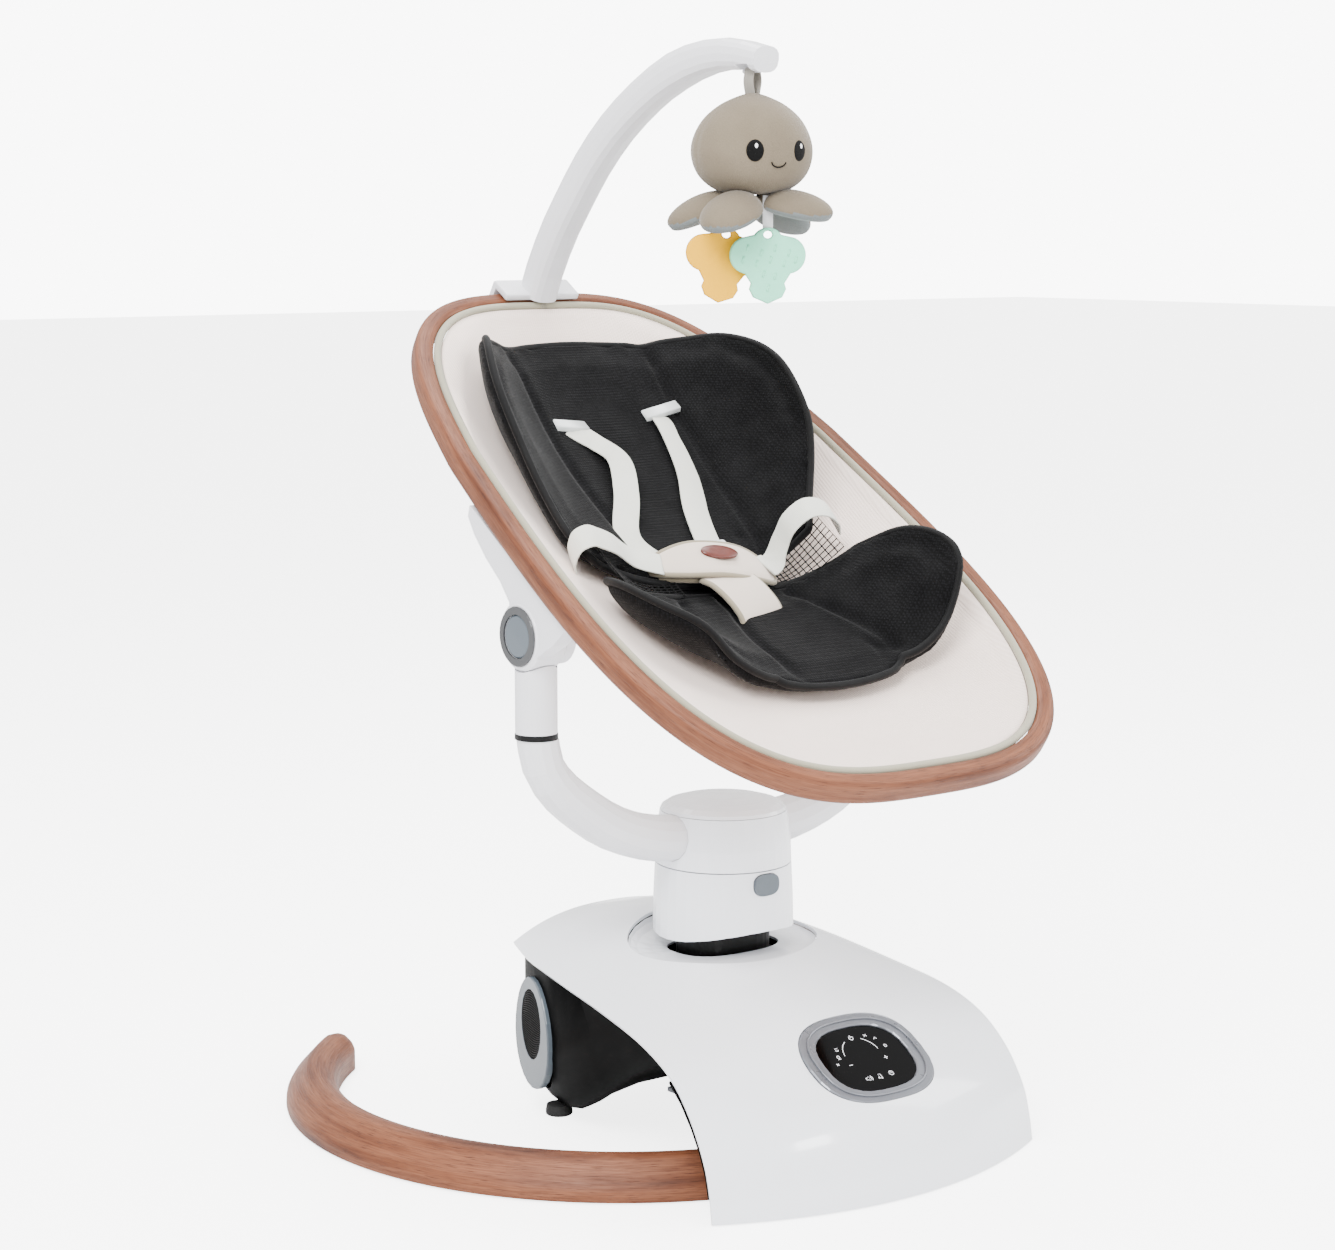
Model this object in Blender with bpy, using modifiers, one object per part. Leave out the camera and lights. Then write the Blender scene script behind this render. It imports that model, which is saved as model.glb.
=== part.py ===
"""Electric baby swing: a moulded base with a wooden floor hoop, a rocking neck,
a turning fork of two tubes, and a reclining sling seat with harness and toy bar.

The frame has +Z up, the front with its control panel towards -Y, the head of the
seat towards +Y, and the origin on the floor under the middle of the swing.
Left is -X, as seen by someone who faces the front.
"""
from math import copysign, cos, pi, radians, sin

import bmesh
import bpy
import numpy as np
from mathutils import Matrix, Vector

# Driving dimensions, in metres
GAP = 0.0004                        # between pieces that touch
NECK_Y = -0.0435                    # the upright axis that the seat turns about
AXLE_Z = 0.100                      # the axle that the neck rocks about
HINGE_Z = 0.466                     # the axis that the seat reclines about
HINGE_X = 0.2222                    # outer face of the hinge bosses
HINGE_R = 0.030                     # radius of the hinge bosses
TUBE_X = 0.2038                     # uprights, to the left and right
TUBE_R = 0.0182
JOINT_Z = 0.379                     # where each upright plugs onto its arm
SEAM_Z = 0.2437                     # between the rocking neck and the turning collar
SEAT_Y = NECK_Y + 0.1007            # middle of the seat's rim
SEAT_Z = 0.6162
SEAT_TILT = radians(32.7)
RIM_HEAD = 0.2185                   # from the rim's middle to its head end, inside
RIM_FOOT = 0.448
RIM_HALF = 0.2002                   # half of the rim's width at its middle, inside
RIM_TAPER = 0.2013                  # widening of the rim towards the foot
RIM_WIDE = 0.017                    # section of the wooden rim
RIM_TALL = 0.022
SLING_DEEP = 0.070
SLING_MIDDLE = -0.12                # deepest place of the sling, along the seat
HOOP_Y = NECK_Y + 0.1237            # floor hoop: outer edge on an ellipse
HOOP_RX = 0.337
HOOP_RY = 0.323
HOOP_WIDE = 0.048
SHELL_THICK = 0.003
PANEL_Y = NECK_Y - 0.1966
PANEL_Z = 0.1045
PANEL_SLOPE = radians(33)
PLUSH_Y = NECK_Y - 0.0376           # the toy hangs from here
HOOK_Z = 0.941
SECTOR_TEETH = 45
PINION_TEETH = 10
TOOTH_MODULE = 0.002
PINION_ANGLE = radians(200)         # from the axle to the pinion, seen from the front

SIDES = (("left", -1), ("right", 1))
SEAT = Matrix.Translation((0, SEAT_Y, SEAT_Z)) @ Matrix.Rotation(SEAT_TILT, 4, "X")

# Base colour, roughness, metallic
FINISHES = {
    "white": ((0.86, 0.87, 0.89), 0.18, 0.0),
    "satin_white": ((0.80, 0.81, 0.83), 0.35, 0.0),
    "charcoal": ((0.045, 0.046, 0.048), 0.45, 0.0),
    "black": ((0.012, 0.012, 0.013), 0.35, 0.0),
    "wood": ((0.36, 0.18, 0.105), 0.5, 0.0),
    "grey": ((0.12, 0.12, 0.125), 0.4, 0.0),
    "blue_grey": ((0.28, 0.32, 0.34), 0.4, 0.0),
    "silver": ((0.72, 0.73, 0.75), 0.25, 0.6),
    "steel": ((0.55, 0.56, 0.58), 0.3, 1.0),
    "board": ((0.03, 0.14, 0.06), 0.5, 0.0),
    "rubber": ((0.015, 0.015, 0.015), 0.8, 0.0),
    "cream": ((0.78, 0.70, 0.66), 0.9, 0.0),
    "piping": ((0.48, 0.47, 0.40), 0.85, 0.0),
    "black_mesh": ((0.012, 0.012, 0.014), 0.9, 0.0),
    "webbing": ((0.62, 0.65, 0.60), 0.8, 0.0),
    "plush": ((0.42, 0.39, 0.35), 0.95, 0.0),
    "yellow": ((0.80, 0.50, 0.01), 0.4, 0.0),
    "mint": ((0.48, 0.80, 0.66), 0.4, 0.0),
}

for old in list(bpy.data.objects):
    bpy.data.objects.remove(old, do_unlink=True)
PARTS = bpy.data.collections.new("baby_swing")
CUTTERS = bpy.data.collections.new("cutters")
for group in (PARTS, CUTTERS):
    bpy.context.scene.collection.children.link(group)


# ---------------------------------------------------------------- building tools
def place(name, data, finish, matrix=None):
    """An object in the parts collection with its own material, or a cutter if it has none."""
    obj = bpy.data.objects.new(name, data)
    obj.matrix_world = matrix if matrix else Matrix()
    if finish:
        PARTS.objects.link(obj)
        colour, rough, metal = FINISHES[finish]
        material = bpy.data.materials.new(name)
        material.use_nodes = True
        shader = material.node_tree.nodes["Principled BSDF"]
        shader.inputs["Base Color"].default_value = (*colour, 1)
        shader.inputs["Roughness"].default_value = rough
        shader.inputs["Metallic"].default_value = metal
        data.materials.append(material)
    else:
        CUTTERS.objects.link(obj)
        obj.hide_render = True
        obj.display_type = "WIRE"
    return obj


def from_bmesh(name, bm, finish, matrix=None):
    mesh = bpy.data.meshes.new(name)
    bm.to_mesh(mesh)
    bm.free()
    mesh.shade_smooth()
    mesh.set_sharp_from_angle(angle=radians(35))
    return place(name, mesh, finish, matrix)


def block(name, size, at, finish, turn=None):
    bm = bmesh.new()
    bmesh.ops.create_cube(bm, size=1)
    bmesh.ops.scale(bm, vec=size, verts=bm.verts)
    matrix = Matrix.Translation(at) @ (turn if turn else Matrix())
    return from_bmesh(name, bm, finish, matrix)


def add_rod(bm, radius, start, end, sides=24):
    """A cylinder from one point to another."""
    start, end = Vector(start), Vector(end)
    run = end - start
    matrix = Matrix.Translation((start + end) / 2) @ run.to_track_quat("Z", "Y").to_matrix().to_4x4()
    bmesh.ops.create_cone(bm, cap_ends=True, segments=sides, radius1=radius, radius2=radius,
                          depth=run.length, matrix=matrix)


def rods(name, finish, items, sides=24, matrix=None):
    """One object of cylinders that stay apart: (radius, start, end) for each."""
    bm = bmesh.new()
    for radius, start, end in items:
        add_rod(bm, radius, start, end, sides)
    return from_bmesh(name, bm, finish, matrix)


def turned(name, profile, at, finish, steps=32, closed=False, matrix=None):
    """A profile of (radius, height), outer side first from the top, turned about Z."""
    mesh = bpy.data.meshes.new(name)
    links = [(i, i + 1) for i in range(len(profile) - 1)]
    if closed:
        links.append((len(profile) - 1, 0))
    mesh.from_pydata([(r, 0, z) for r, z in profile], links, [])
    obj = place(name, mesh, finish, Matrix.Translation(at) @ (matrix if matrix else Matrix()))
    screw = obj.modifiers.new("turn", "SCREW")
    screw.steps = screw.render_steps = steps
    screw.use_merge_vertices = True
    screw.merge_threshold = 0.00005
    return obj


def as_mesh(obj, finish):
    """The same object with its curve made into a welded mesh."""
    bpy.context.view_layer.update()
    evaluated = obj.evaluated_get(bpy.context.evaluated_depsgraph_get())
    mesh = bpy.data.meshes.new_from_object(evaluated)
    name, matrix, curve = obj.name, obj.matrix_world.copy(), obj.data
    bpy.data.objects.remove(obj)
    bpy.data.curves.remove(curve)
    bm = bmesh.new()
    bm.from_mesh(mesh)
    bmesh.ops.remove_doubles(bm, verts=bm.verts, dist=0.00001)
    bmesh.ops.recalc_face_normals(bm, faces=bm.faces)
    bm.to_mesh(mesh)
    bm.free()
    mesh.materials.clear()
    mesh.shade_smooth()
    mesh.set_sharp_from_angle(angle=radians(35))
    return place(name, mesh, finish, matrix)


def prism(name, outlines, thickness, matrix, finish):
    """A flat plate: its outline, and any holes, lie in the matrix's own XY plane."""
    curve = bpy.data.curves.new(name, "CURVE")
    curve.dimensions = "2D"
    curve.fill_mode = "BOTH"
    curve.extrude = thickness / 2
    for outline in outlines:
        spline = curve.splines.new("POLY")
        spline.points.add(len(outline) - 1)
        for point, (x, y) in zip(spline.points, outline):
            point.co = (x, y, 0, 1)
        spline.use_cyclic_u = True
    return as_mesh(place(name, curve, None, matrix), finish)


def tube(name, points, radii, finish, sides=4):
    """A round tube of changing radius along a smooth run of points."""
    curve = bpy.data.curves.new(name, "CURVE")
    curve.dimensions = "3D"
    curve.bevel_depth = 1
    curve.bevel_resolution = sides
    curve.use_fill_caps = True
    spline = curve.splines.new("POLY")
    spline.points.add(len(points) - 1)
    for point, at, radius in zip(spline.points, points, radii):
        point.co = (*at, 1)
        point.radius = radius
    return as_mesh(place(name, curve, None), finish)


def loft(name, rings, finish, closed=False, matrix=None):
    """A closed body through rings that each hold the same number of points."""
    bm = bmesh.new()
    rows = [[bm.verts.new(p) for p in ring] for ring in rings]
    pairs = list(zip(rows, rows[1:])) + ([(rows[-1], rows[0])] if closed else [])
    for a, b in pairs:
        for i in range(len(a)):
            j = (i + 1) % len(a)
            bm.faces.new((a[i], a[j], b[j], b[i]))
    if not closed:
        bm.faces.new(rows[0])
        bm.faces.new(rows[-1])
    bmesh.ops.recalc_face_normals(bm, faces=bm.faces)
    return from_bmesh(name, bm, finish, matrix)


def sheet(name, grid, thickness, finish, up=(0, 0, 1), wrap=False, matrix=None, offset=-1):
    """A skin over rows of points, thickened below the side that faces up.
    With wrap, the rows are rings and the last one is closed by a face."""
    bm = bmesh.new()
    rows = [[bm.verts.new(p) for p in row] for row in grid]
    for a, b in zip(rows, rows[1:]):
        for i in range(len(a) if wrap else len(a) - 1):
            j = (i + 1) % len(a)
            bm.faces.new((a[i], a[j], b[j], b[i]))
    if wrap == "closed":
        bm.faces.new(rows[-1])
    bmesh.ops.recalc_face_normals(bm, faces=bm.faces)
    bm.normal_update()
    total = sum((f.normal * f.calc_area() for f in bm.faces), Vector())
    if total.dot(Vector(up)) < 0:
        bmesh.ops.reverse_faces(bm, faces=bm.faces)
    obj = from_bmesh(name, bm, finish, matrix)
    solid = obj.modifiers.new("thickness", "SOLIDIFY")
    solid.thickness = thickness
    solid.offset = offset
    return obj


def boolean(obj, tool, operation="DIFFERENCE"):
    modifier = obj.modifiers.new(operation.lower(), "BOOLEAN")
    modifier.operation = operation
    modifier.solver = "EXACT"
    modifier.object = tool


def rounded(obj, width, segments=2, angle=35):
    bevel = obj.modifiers.new("edges", "BEVEL")
    bevel.width = width
    bevel.segments = segments
    bevel.limit_method = "ANGLE"
    bevel.angle_limit = radians(angle)


def smooth(points, count):
    """Points spread evenly along a smooth curve through the given ones."""
    p = np.array(points, float)
    p = np.vstack([2 * p[0] - p[1], p, 2 * p[-1] - p[-2]])
    fine = []
    for a, b, c, d in zip(p, p[1:], p[2:], p[3:]):
        for t in np.linspace(0, 1, 24, endpoint=False):
            fine.append(0.5 * (2 * b + (c - a) * t + (2 * a - 5 * b + 4 * c - d) * t ** 2
                               + (3 * b - a - 3 * c + d) * t ** 3))
    fine = np.array(fine + [p[-2]])
    run = np.concatenate([[0], np.cumsum(np.linalg.norm(np.diff(fine, axis=0), axis=1))])
    spots = np.linspace(0, run[-1], count)
    return np.column_stack([np.interp(spots, run, column) for column in fine.T])


def power(value, exponent):
    return copysign(abs(value) ** exponent, value)


def squircle(half_x, half_y, exponent, count, middle=(0, 0)):
    """A rounded rectangle between an ellipse (2) and a box (large)."""
    angles = [2 * pi * i / count for i in range(count)]
    return [(middle[0] + half_x * power(cos(a), 2 / exponent),
             middle[1] + half_y * power(sin(a), 2 / exponent)) for a in angles]


def joint_frame(name, at):
    """An empty on a joint's axis, which the moving pieces are parented to."""
    empty = bpy.data.objects.new(name, None)
    empty.location = at
    empty.empty_display_size = 0.03
    bpy.context.scene.collection.objects.link(empty)
    return empty


def hang_on(empty, *pieces):
    for piece in pieces:
        piece.parent = empty
        piece.matrix_parent_inverse = Matrix.Translation(empty.location).inverted()


def facing(at, normal, up=(0, 0, 1)):
    """A frame at a point whose Z is the normal and whose Y is near up."""
    z = Vector(normal).normalized()
    x = Vector(up).cross(z).normalized()
    y = z.cross(x)
    return Matrix.Translation(at) @ Matrix((x, y, z)).transposed().to_4x4()


# ---------------------------------------------------------------- base shell
# Each station: (y, z) of the middle line, then (x, y, z) of the edge, y from the neck axis
SHELL_STATIONS = [
    (0.177, 0.169, 0.112, 0.170, 0.147),
    (0.112, 0.182, 0.128, 0.122, 0.143),
    (0.050, 0.184, 0.145, 0.050, 0.140),
    (-0.018, 0.177, 0.158, -0.028, 0.134),
    (-0.088, 0.157, 0.168, -0.099, 0.124),
    (-0.157, 0.130, 0.174, -0.148, 0.107),
    (-0.197, 0.104, 0.178, -0.180, 0.081),
    (-0.238, 0.076, 0.180, -0.201, 0.049),
    (-0.254, 0.036, 0.1805, -0.209, 0.024),
    (-0.260, 0.001, 0.181, -0.213, 0.001),
]
SHELL_LINES = smooth(SHELL_STATIONS, 20)


def shell_row(line, count=13):
    """Points across the shell at one station."""
    mid_y, mid_z, edge_x, edge_y, edge_z = line
    row = []
    for u in np.linspace(-1, 1, count):
        u = copysign(abs(u) ** 0.85, u)
        z = mid_z + (edge_z - mid_z) * abs(u) ** 2.4
        y = mid_y + (edge_y - mid_y) * abs(u) ** 2
        row.append((u * edge_x, NECK_Y + y, z))
    return row


def shell_height(x, y):
    """Height of the shell's outer face over a place of the floor."""
    low, high = 0.0, len(SHELL_LINES) - 1.0
    for _ in range(30):
        at = (low + high) / 2
        line = [np.interp(at, range(len(SHELL_LINES)), column) for column in SHELL_LINES.T]
        u = min(abs(x) / line[2], 1)
        if NECK_Y + line[0] + (line[3] - line[0]) * u ** 2 > y:
            low = at
        else:
            high = at
    return line[1] + (line[4] - line[1]) * u ** 2.4


def offset_grid(grid, distance):
    """The same rows of points, moved down along the surface's own normals."""
    rows = np.array(grid)
    along, across = np.gradient(rows, axis=0), np.gradient(rows, axis=1)
    normals = np.cross(across, along)
    normals /= np.linalg.norm(normals, axis=2)[:, :, None]
    normals *= np.sign(normals[..., 2].sum())
    return rows - normals * distance


shell_grid = [shell_row(line) for line in SHELL_LINES]
base_shell = sheet("base_shell", shell_grid, SHELL_THICK, "white")

WELL = (0.094, 0.071)               # half sizes of the oval well around the neck
SLOT = (0.053, 0.037)               # half sizes of the slot in its floor
SLOT_Z = 0.1655
well_cutter = prism("well_cutter", [squircle(WELL[0], WELL[1], 2.0, 28)], 0.12,
                    Matrix.Translation((0, NECK_Y, 0.17)), None)
boolean(base_shell, well_cutter)

# The well is a dished ring that drops from the shell to the slot.
well_rows = []
for inward, drop in ((0.0, 0.0), (0.06, 0.25), (0.22, 0.55), (0.6, 0.85), (1.0, 1.0)):
    row = []
    for (ox, oy), (ix, iy) in zip(squircle(WELL[0] - GAP, WELL[1] - GAP, 2.0, 28),
                                  squircle(*SLOT, 2.6, 28)):
        top = shell_height(ox, NECK_Y + oy) - 0.0006
        row.append((ox + (ix - ox) * inward, NECK_Y + oy + (iy - oy) * inward,
                    top + (SLOT_Z - top) * drop))
    well_rows.append(row)
neck_well = sheet("neck_well", well_rows, 0.0024, "white", wrap=True)
well_edge = prism("well_edge", [squircle(WELL[0] - GAP, WELL[1] - GAP, 2.0, 28)], 0.12,
                  Matrix.Translation((0, NECK_Y, 0.17)), None)
boolean(neck_well, well_edge, "INTERSECT")

# ---------------------------------------------------------------- housing under the shell
# Lower edge of the side walls: (y from the neck axis, z, inset of the wall from the shell's edge)
LEG_STATIONS = [
    (0.1685, 0.092, 0.020),
    (0.1650, 0.060, 0.012),
    (0.1600, 0.034, 0.008),
    (0.1414, 0.0125, 0.006),
    (0.1200, 0.0105, 0.005),
    (0.0900, 0.0105, 0.005),
    (0.0724, 0.0125, 0.005),
    (0.0420, 0.027, 0.005),
    (0.0114, 0.045, 0.005),
    (-0.0256, 0.068, 0.005),
    (-0.0626, 0.086, 0.005),
    (-0.0976, 0.101, 0.005),
    (-0.1250, 0.111, 0.005),
]
BELLY_Z = 0.050
edge_rows = SHELL_LINES[::-1]
housing_rows = []
for y, leg_z, inset in smooth(LEG_STATIONS, 15):
    half = np.interp(y, edge_rows[:, 3], edge_rows[:, 2]) - inset
    belly = max(leg_z, BELLY_Z)
    top = np.interp(y, edge_rows[:, 3], edge_rows[:, 4]) + 0.045
    side = [(half, top), (half, leg_z + 0.05), (half - 0.003, leg_z + 0.03), (half - 0.009, leg_z + 0.014),
            (half - 0.018, leg_z + 0.003), (half - 0.028, leg_z), (half - 0.036, leg_z + 0.001),
            (half - 0.052, (leg_z + 2 * belly) / 3), (half - 0.065, belly)]
    row = [(-x, NECK_Y + y, z) for x, z in side] + [(x, NECK_Y + y, z) for x, z in reversed(side)]
    housing_rows.append(row)
bm = bmesh.new()
rows = [[bm.verts.new(p) for p in row] for row in housing_rows]
for a, b in zip(rows, rows[1:]):
    for i in range(len(a) - 1):
        bm.faces.new((a[i], a[i + 1], b[i + 1], b[i]))
bm.faces.new(rows[0])
bm.faces.new(rows[-1])
bmesh.ops.recalc_face_normals(bm, faces=bm.faces)
if sum((f.normal for f in bm.faces if abs(f.normal.z) > 0.9), Vector()).z > 0:
    bmesh.ops.reverse_faces(bm, faces=bm.faces)
base_housing = from_bmesh("base_housing", bm, "charcoal")
walls = base_housing.modifiers.new("thickness", "SOLIDIFY")
walls.thickness = 0.003
walls.offset = -1
shell_cutter = sheet("shell_cutter", offset_grid(shell_grid, SHELL_THICK + 0.0006), 0.09, None, offset=1)
boolean(base_housing, shell_cutter)

# A dark liner backs the shell's front half and shows along its edge.
liner_rows = [shell_row(line) for line in SHELL_LINES if line[3] < -0.133]
shell_liner = sheet("shell_liner", offset_grid(liner_rows, SHELL_THICK + 0.0008)[:-1], 0.0024, "charcoal")

# ---------------------------------------------------------------- speakers, feet, socket
FOOT = [(0, 0.0095), (0.0115, 0.0095), (0.0125, 0.004), (0.0125, 0.001), (0.0115, 0), (0, 0)]
EGG = [(0.044 * sin(a) * (1 + 0.10 * cos(a)), -0.052 * cos(a))
       for a in np.linspace(0, 2 * pi, 26, endpoint=False)]
for side, sign in SIDES:
    frame = facing((sign * 0.1232, NECK_Y + 0.1224, 0.076), (sign * cos(radians(15)), sin(radians(15)), 0))
    cutter = prism("speaker_cutter_" + side, [[(x * 1.008, y * 1.008) for x, y in EGG]], 0.03, frame, None)
    boolean(base_housing, cutter)
    speaker = prism("speaker_" + side, [EGG], 0.007, frame, "blue_grey")
    rounded(speaker, 0.0012, 2)
    recess = prism("speaker_recess_" + side, [squircle(0.026, 0.033, 2.0, 20, (0, 0.008))], 0.003,
                   frame @ Matrix.Translation((0, 0, 0.0035)), None)
    boolean(speaker, recess)
    foot = turned("rear_foot_" + side, FOOT, (sign * 0.1075, NECK_Y + 0.106, 0), "rubber", 18)

socket_at = (0.045, NECK_Y + 0.1665, 0.118)
socket_hole = rods("socket_hole", None, [(0.0075, (0.045, socket_at[1] - 0.02, 0.118),
                                          (0.045, socket_at[1] + 0.02, 0.118))], 20)
boolean(base_housing, socket_hole)
power_socket = turned("power_socket", [(0.0032, 0.001), (0.0070, 0.001), (0.0070, -0.012),
                                       (0.0032, -0.012)], socket_at, "black", 20, closed=True,
                      matrix=Matrix.Rotation(radians(-90), 4, "X"))

# ---------------------------------------------------------------- floor hoop
HOOP_Z = 0.0012
# Section of the hoop, from its middle outwards and up: a broad face slopes outwards.
HOOP_SECTION = [(-0.024, 0.0), (-0.024, 0.020), (-0.0205, 0.027), (-0.012, 0.034), (-0.004, 0.0355),
                (0.004, 0.0335), (0.0195, 0.0165), (0.0235, 0.0095), (0.024, 0.0)]
HOOP_END = radians(53)              # the free ends, from the +X and -X directions


def hoop_ring(angle, shrink=1.0):
    """The hoop's section at an angle from +X, counted towards the front."""
    ring = []
    radial = Vector((cos(angle) / HOOP_RX, -sin(angle) / HOOP_RY, 0)).normalized()
    edge = Vector((HOOP_RX * cos(angle), HOOP_Y - HOOP_RY * sin(angle), 0))
    centre = edge - radial * HOOP_WIDE / 2
    for out, up in HOOP_SECTION:
        ring.append(centre + radial * out * shrink + Vector((0, 0, HOOP_Z + up * (0.6 + 0.4 * shrink))))
    return ring


hoops = []
for side, sign in SIDES:
    angles = [-HOOP_END, -HOOP_END + 0.03] + list(np.linspace(-HOOP_END + 0.09, pi / 2 - 0.0015, 22))
    rings = [hoop_ring(a, 0.62 if i == 0 else 0.86 if i == 1 else 1) for i, a in enumerate(angles)]
    if sign < 0:
        rings = [[Vector((-p.x, p.y, p.z)) for p in ring] for ring in rings]
    hoops.append(loft("hoop_" + side, rings, "wood"))
hoop_left, hoop_right = hoops

PLATE_Z = HOOP_Z + 0.0360
chassis_plate = prism("chassis_plate", [[(-0.095, -0.222), (0.095, -0.222), (0.060, -0.10), (0.060, 0.004),
                                         (-0.060, 0.004), (-0.060, -0.10)]], 0.004,
                      Matrix.Translation((0, NECK_Y, PLATE_Z + 0.0024)), "steel")
screw_spots = [(-0.075, -0.190), (0.075, -0.190), (-0.035, -0.1915), (0.035, -0.1915)]
screw_spots = [(x, NECK_Y + y) for x, y in screw_spots]
holes = rods("screw_holes", None, [(0.0024, (x, y, 0.018), (x, y, 0.06)) for x, y in screw_spots], 12)
for piece in (chassis_plate, hoop_left, hoop_right):
    boolean(piece, holes)

# ---------------------------------------------------------------- control panel
panel = facing((0, PANEL_Y, PANEL_Z), (0, -sin(PANEL_SLOPE), cos(PANEL_SLOPE)), (0, 1, 0))
BEZEL = (0.063, 0.0485)
GLASS = (0.0465, 0.0360)
bezel_cutter = prism("bezel_cutter", [squircle(BEZEL[0] + GAP, BEZEL[1] + GAP, 2.6, 30)], 0.06, panel, None)
boolean(base_shell, bezel_cutter)
boolean(shell_liner, bezel_cutter)
control_bezel = prism("control_bezel", [squircle(*BEZEL, 2.6, 30), squircle(*GLASS, 2.7, 30)], 0.009,
                      panel @ Matrix.Translation((0, 0, -0.002)), "silver")
rounded(control_bezel, 0.0015, 1)
control_glass = prism("control_glass", [squircle(GLASS[0] - GAP, GLASS[1] - GAP, 2.7, 30)], 0.004,
                      panel @ Matrix.Translation((0, 0, -0.0015)), "black")
control_board = block("control_board", (0.078, 0.058, 0.0016), (0, 0, 0), "board")
control_board.matrix_world = panel @ Matrix.Translation((0, 0, -0.0085))

# ---------------------------------------------------------------- drive inside the base
AXLE = Vector((0, NECK_Y, AXLE_Z))
neck_axis = joint_frame("neck_axis", AXLE)
swing_axle = rods("swing_axle", "steel",
                  [(0.006, AXLE + Vector((0, -0.036, 0)), AXLE + Vector((0, 0.100, 0)))])
axle_hole = rods("axle_hole", None, [(0.00606, AXLE + Vector((0, -0.05, 0)), AXLE + Vector((0, 0.12, 0)))])
for name, y, foot in (("bearing_front", -0.027, 0.0757), ("bearing_rear", 0.088, 0.0535)):
    tall = AXLE_Z + 0.012 - foot
    bearing = block(name, (0.034, 0.010, tall), (0, NECK_Y + y, foot + tall / 2), "steel")
    boolean(bearing, axle_hole)

post = bmesh.new()
add_rod(post, 0.012, (0, NECK_Y, AXLE_Z), (0, NECK_Y, 0.2660))
neck_post = from_bmesh("neck_post", post, "steel")
hub = rods("post_hub", None, [(0.0135, AXLE + Vector((0, -0.019, 0)), AXLE + Vector((0, 0.019, 0)))])
boolean(neck_post, hub, "UNION")
post_bore = rods("post_bore", None, [(0.0062, AXLE + Vector((0, -0.05, 0)), AXLE + Vector((0, 0.05, 0)))])
boolean(neck_post, post_bore)


def gear_outline(teeth, first, last, bore):
    """Teeth numbered from first to last, the first gap's middle on +X, then in to the hub."""
    pitch = teeth * TOOTH_MODULE / 2
    step = 2 * pi / teeth
    root, tip = pitch - 1.2 * TOOTH_MODULE, pitch + 0.85 * TOOTH_MODULE
    points = []
    for tooth in range(first, last):
        middle = (tooth + 0.5) * step
        for radius, part in ((root, -0.34), (pitch, -0.22), (tip, -0.11), (tip, 0.11), (pitch, 0.22),
                             (root, 0.34)):
            angle = middle + part * step
            points.append((radius * cos(angle), radius * sin(angle)))
    if last - first < teeth:
        points += [(bore * cos(a), bore * sin(a))
                   for a in np.linspace(last * step, first * step + 2 * pi, 9)]
    return points


GEAR_Y = NECK_Y + 0.058
gear_frame = Matrix.Translation((0, GEAR_Y, AXLE_Z)) @ Matrix.Rotation(radians(90), 4, "X")
sector_outline = gear_outline(SECTOR_TEETH, -6, 6, 0.011)
drive_sector = prism("drive_sector", [sector_outline, squircle(0.0062, 0.0062, 2, 24)], 0.008,
                     gear_frame @ Matrix.Rotation(PINION_ANGLE, 4, "Z"), "steel")
CENTRES = (SECTOR_TEETH + PINION_TEETH) * TOOTH_MODULE / 2
pinion_at = Vector((CENTRES * cos(PINION_ANGLE), GEAR_Y, AXLE_Z + CENTRES * sin(PINION_ANGLE)))
pinion_turn = PINION_ANGLE + pi + pi / PINION_TEETH
drive_pinion = prism("drive_pinion", [gear_outline(PINION_TEETH, 0, PINION_TEETH, 0),
                                      squircle(0.0026, 0.0026, 2, 16)], 0.010,
                     Matrix.Translation(pinion_at) @ Matrix.Rotation(radians(90), 4, "X")
                     @ Matrix.Rotation(pinion_turn, 4, "Z"), "steel")
pinion_axis = joint_frame("pinion_axis", pinion_at)
swing_motor = rods("swing_motor", "steel", [(0.016, pinion_at + Vector((0, 0.009, 0)),
                                             pinion_at + Vector((0, 0.062, 0)))])
motor_shaft = rods("motor_shaft", None, [(0.0023, pinion_at + Vector((0, -0.006, 0)),
                                          pinion_at + Vector((0, 0.012, 0)))], 16)
boolean(swing_motor, motor_shaft, "UNION")

# ---------------------------------------------------------------- rocking neck
neck_housing = turned("neck_housing", [(0.0616, 0.2431), (0.0621, 0.234), (0.0632, 0.21), (0.0638, 0.178),
                                       (0.0606, 0.178), (0.0600, 0.21), (0.0590, 0.2365), (0.0140, 0.2365),
                                       (0.0140, 0.2395), (0.0590, 0.2395), (0.0590, 0.2431)],
                      (0, NECK_Y, 0), "white", 36, closed=True)
SKIRT_R = 0.21                      # the skirt's lower edge follows the rocking motion
skirt_cutter = rods("skirt_cutter", None, [(SKIRT_R, (0, NECK_Y - 0.1, 0.1895 - SKIRT_R),
                                            (0, NECK_Y + 0.1, 0.1895 - SKIRT_R))], 72)
boolean(neck_housing, skirt_cutter)

shutter = bmesh.new()
bmesh.ops.create_cube(shutter, size=1, matrix=Matrix.Translation((0, NECK_Y, 0.1508))
                      @ Matrix.Diagonal((0.130, 0.082, 0.002, 1)))
slot_shutter = from_bmesh("slot_shutter", shutter, "black")
stem = prism("shutter_stem", [squircle(0.042, 0.029, 3.4, 32)], 0.049,
             Matrix.Translation((0, NECK_Y, 0.1755)), None)
boolean(slot_shutter, stem, "UNION")
stem_bore = rods("stem_bore", None, [(0.0124, (0, NECK_Y, 0.12), (0, NECK_Y, 0.22))])
boolean(slot_shutter, stem_bore)

turn_bearing = turned("turn_bearing", [(0.034, 0.2470), (0.034, 0.2399), (0.022, 0.2399), (0.022, 0.2470)],
                      (0, NECK_Y, 0), "steel", 32, closed=True)

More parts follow.
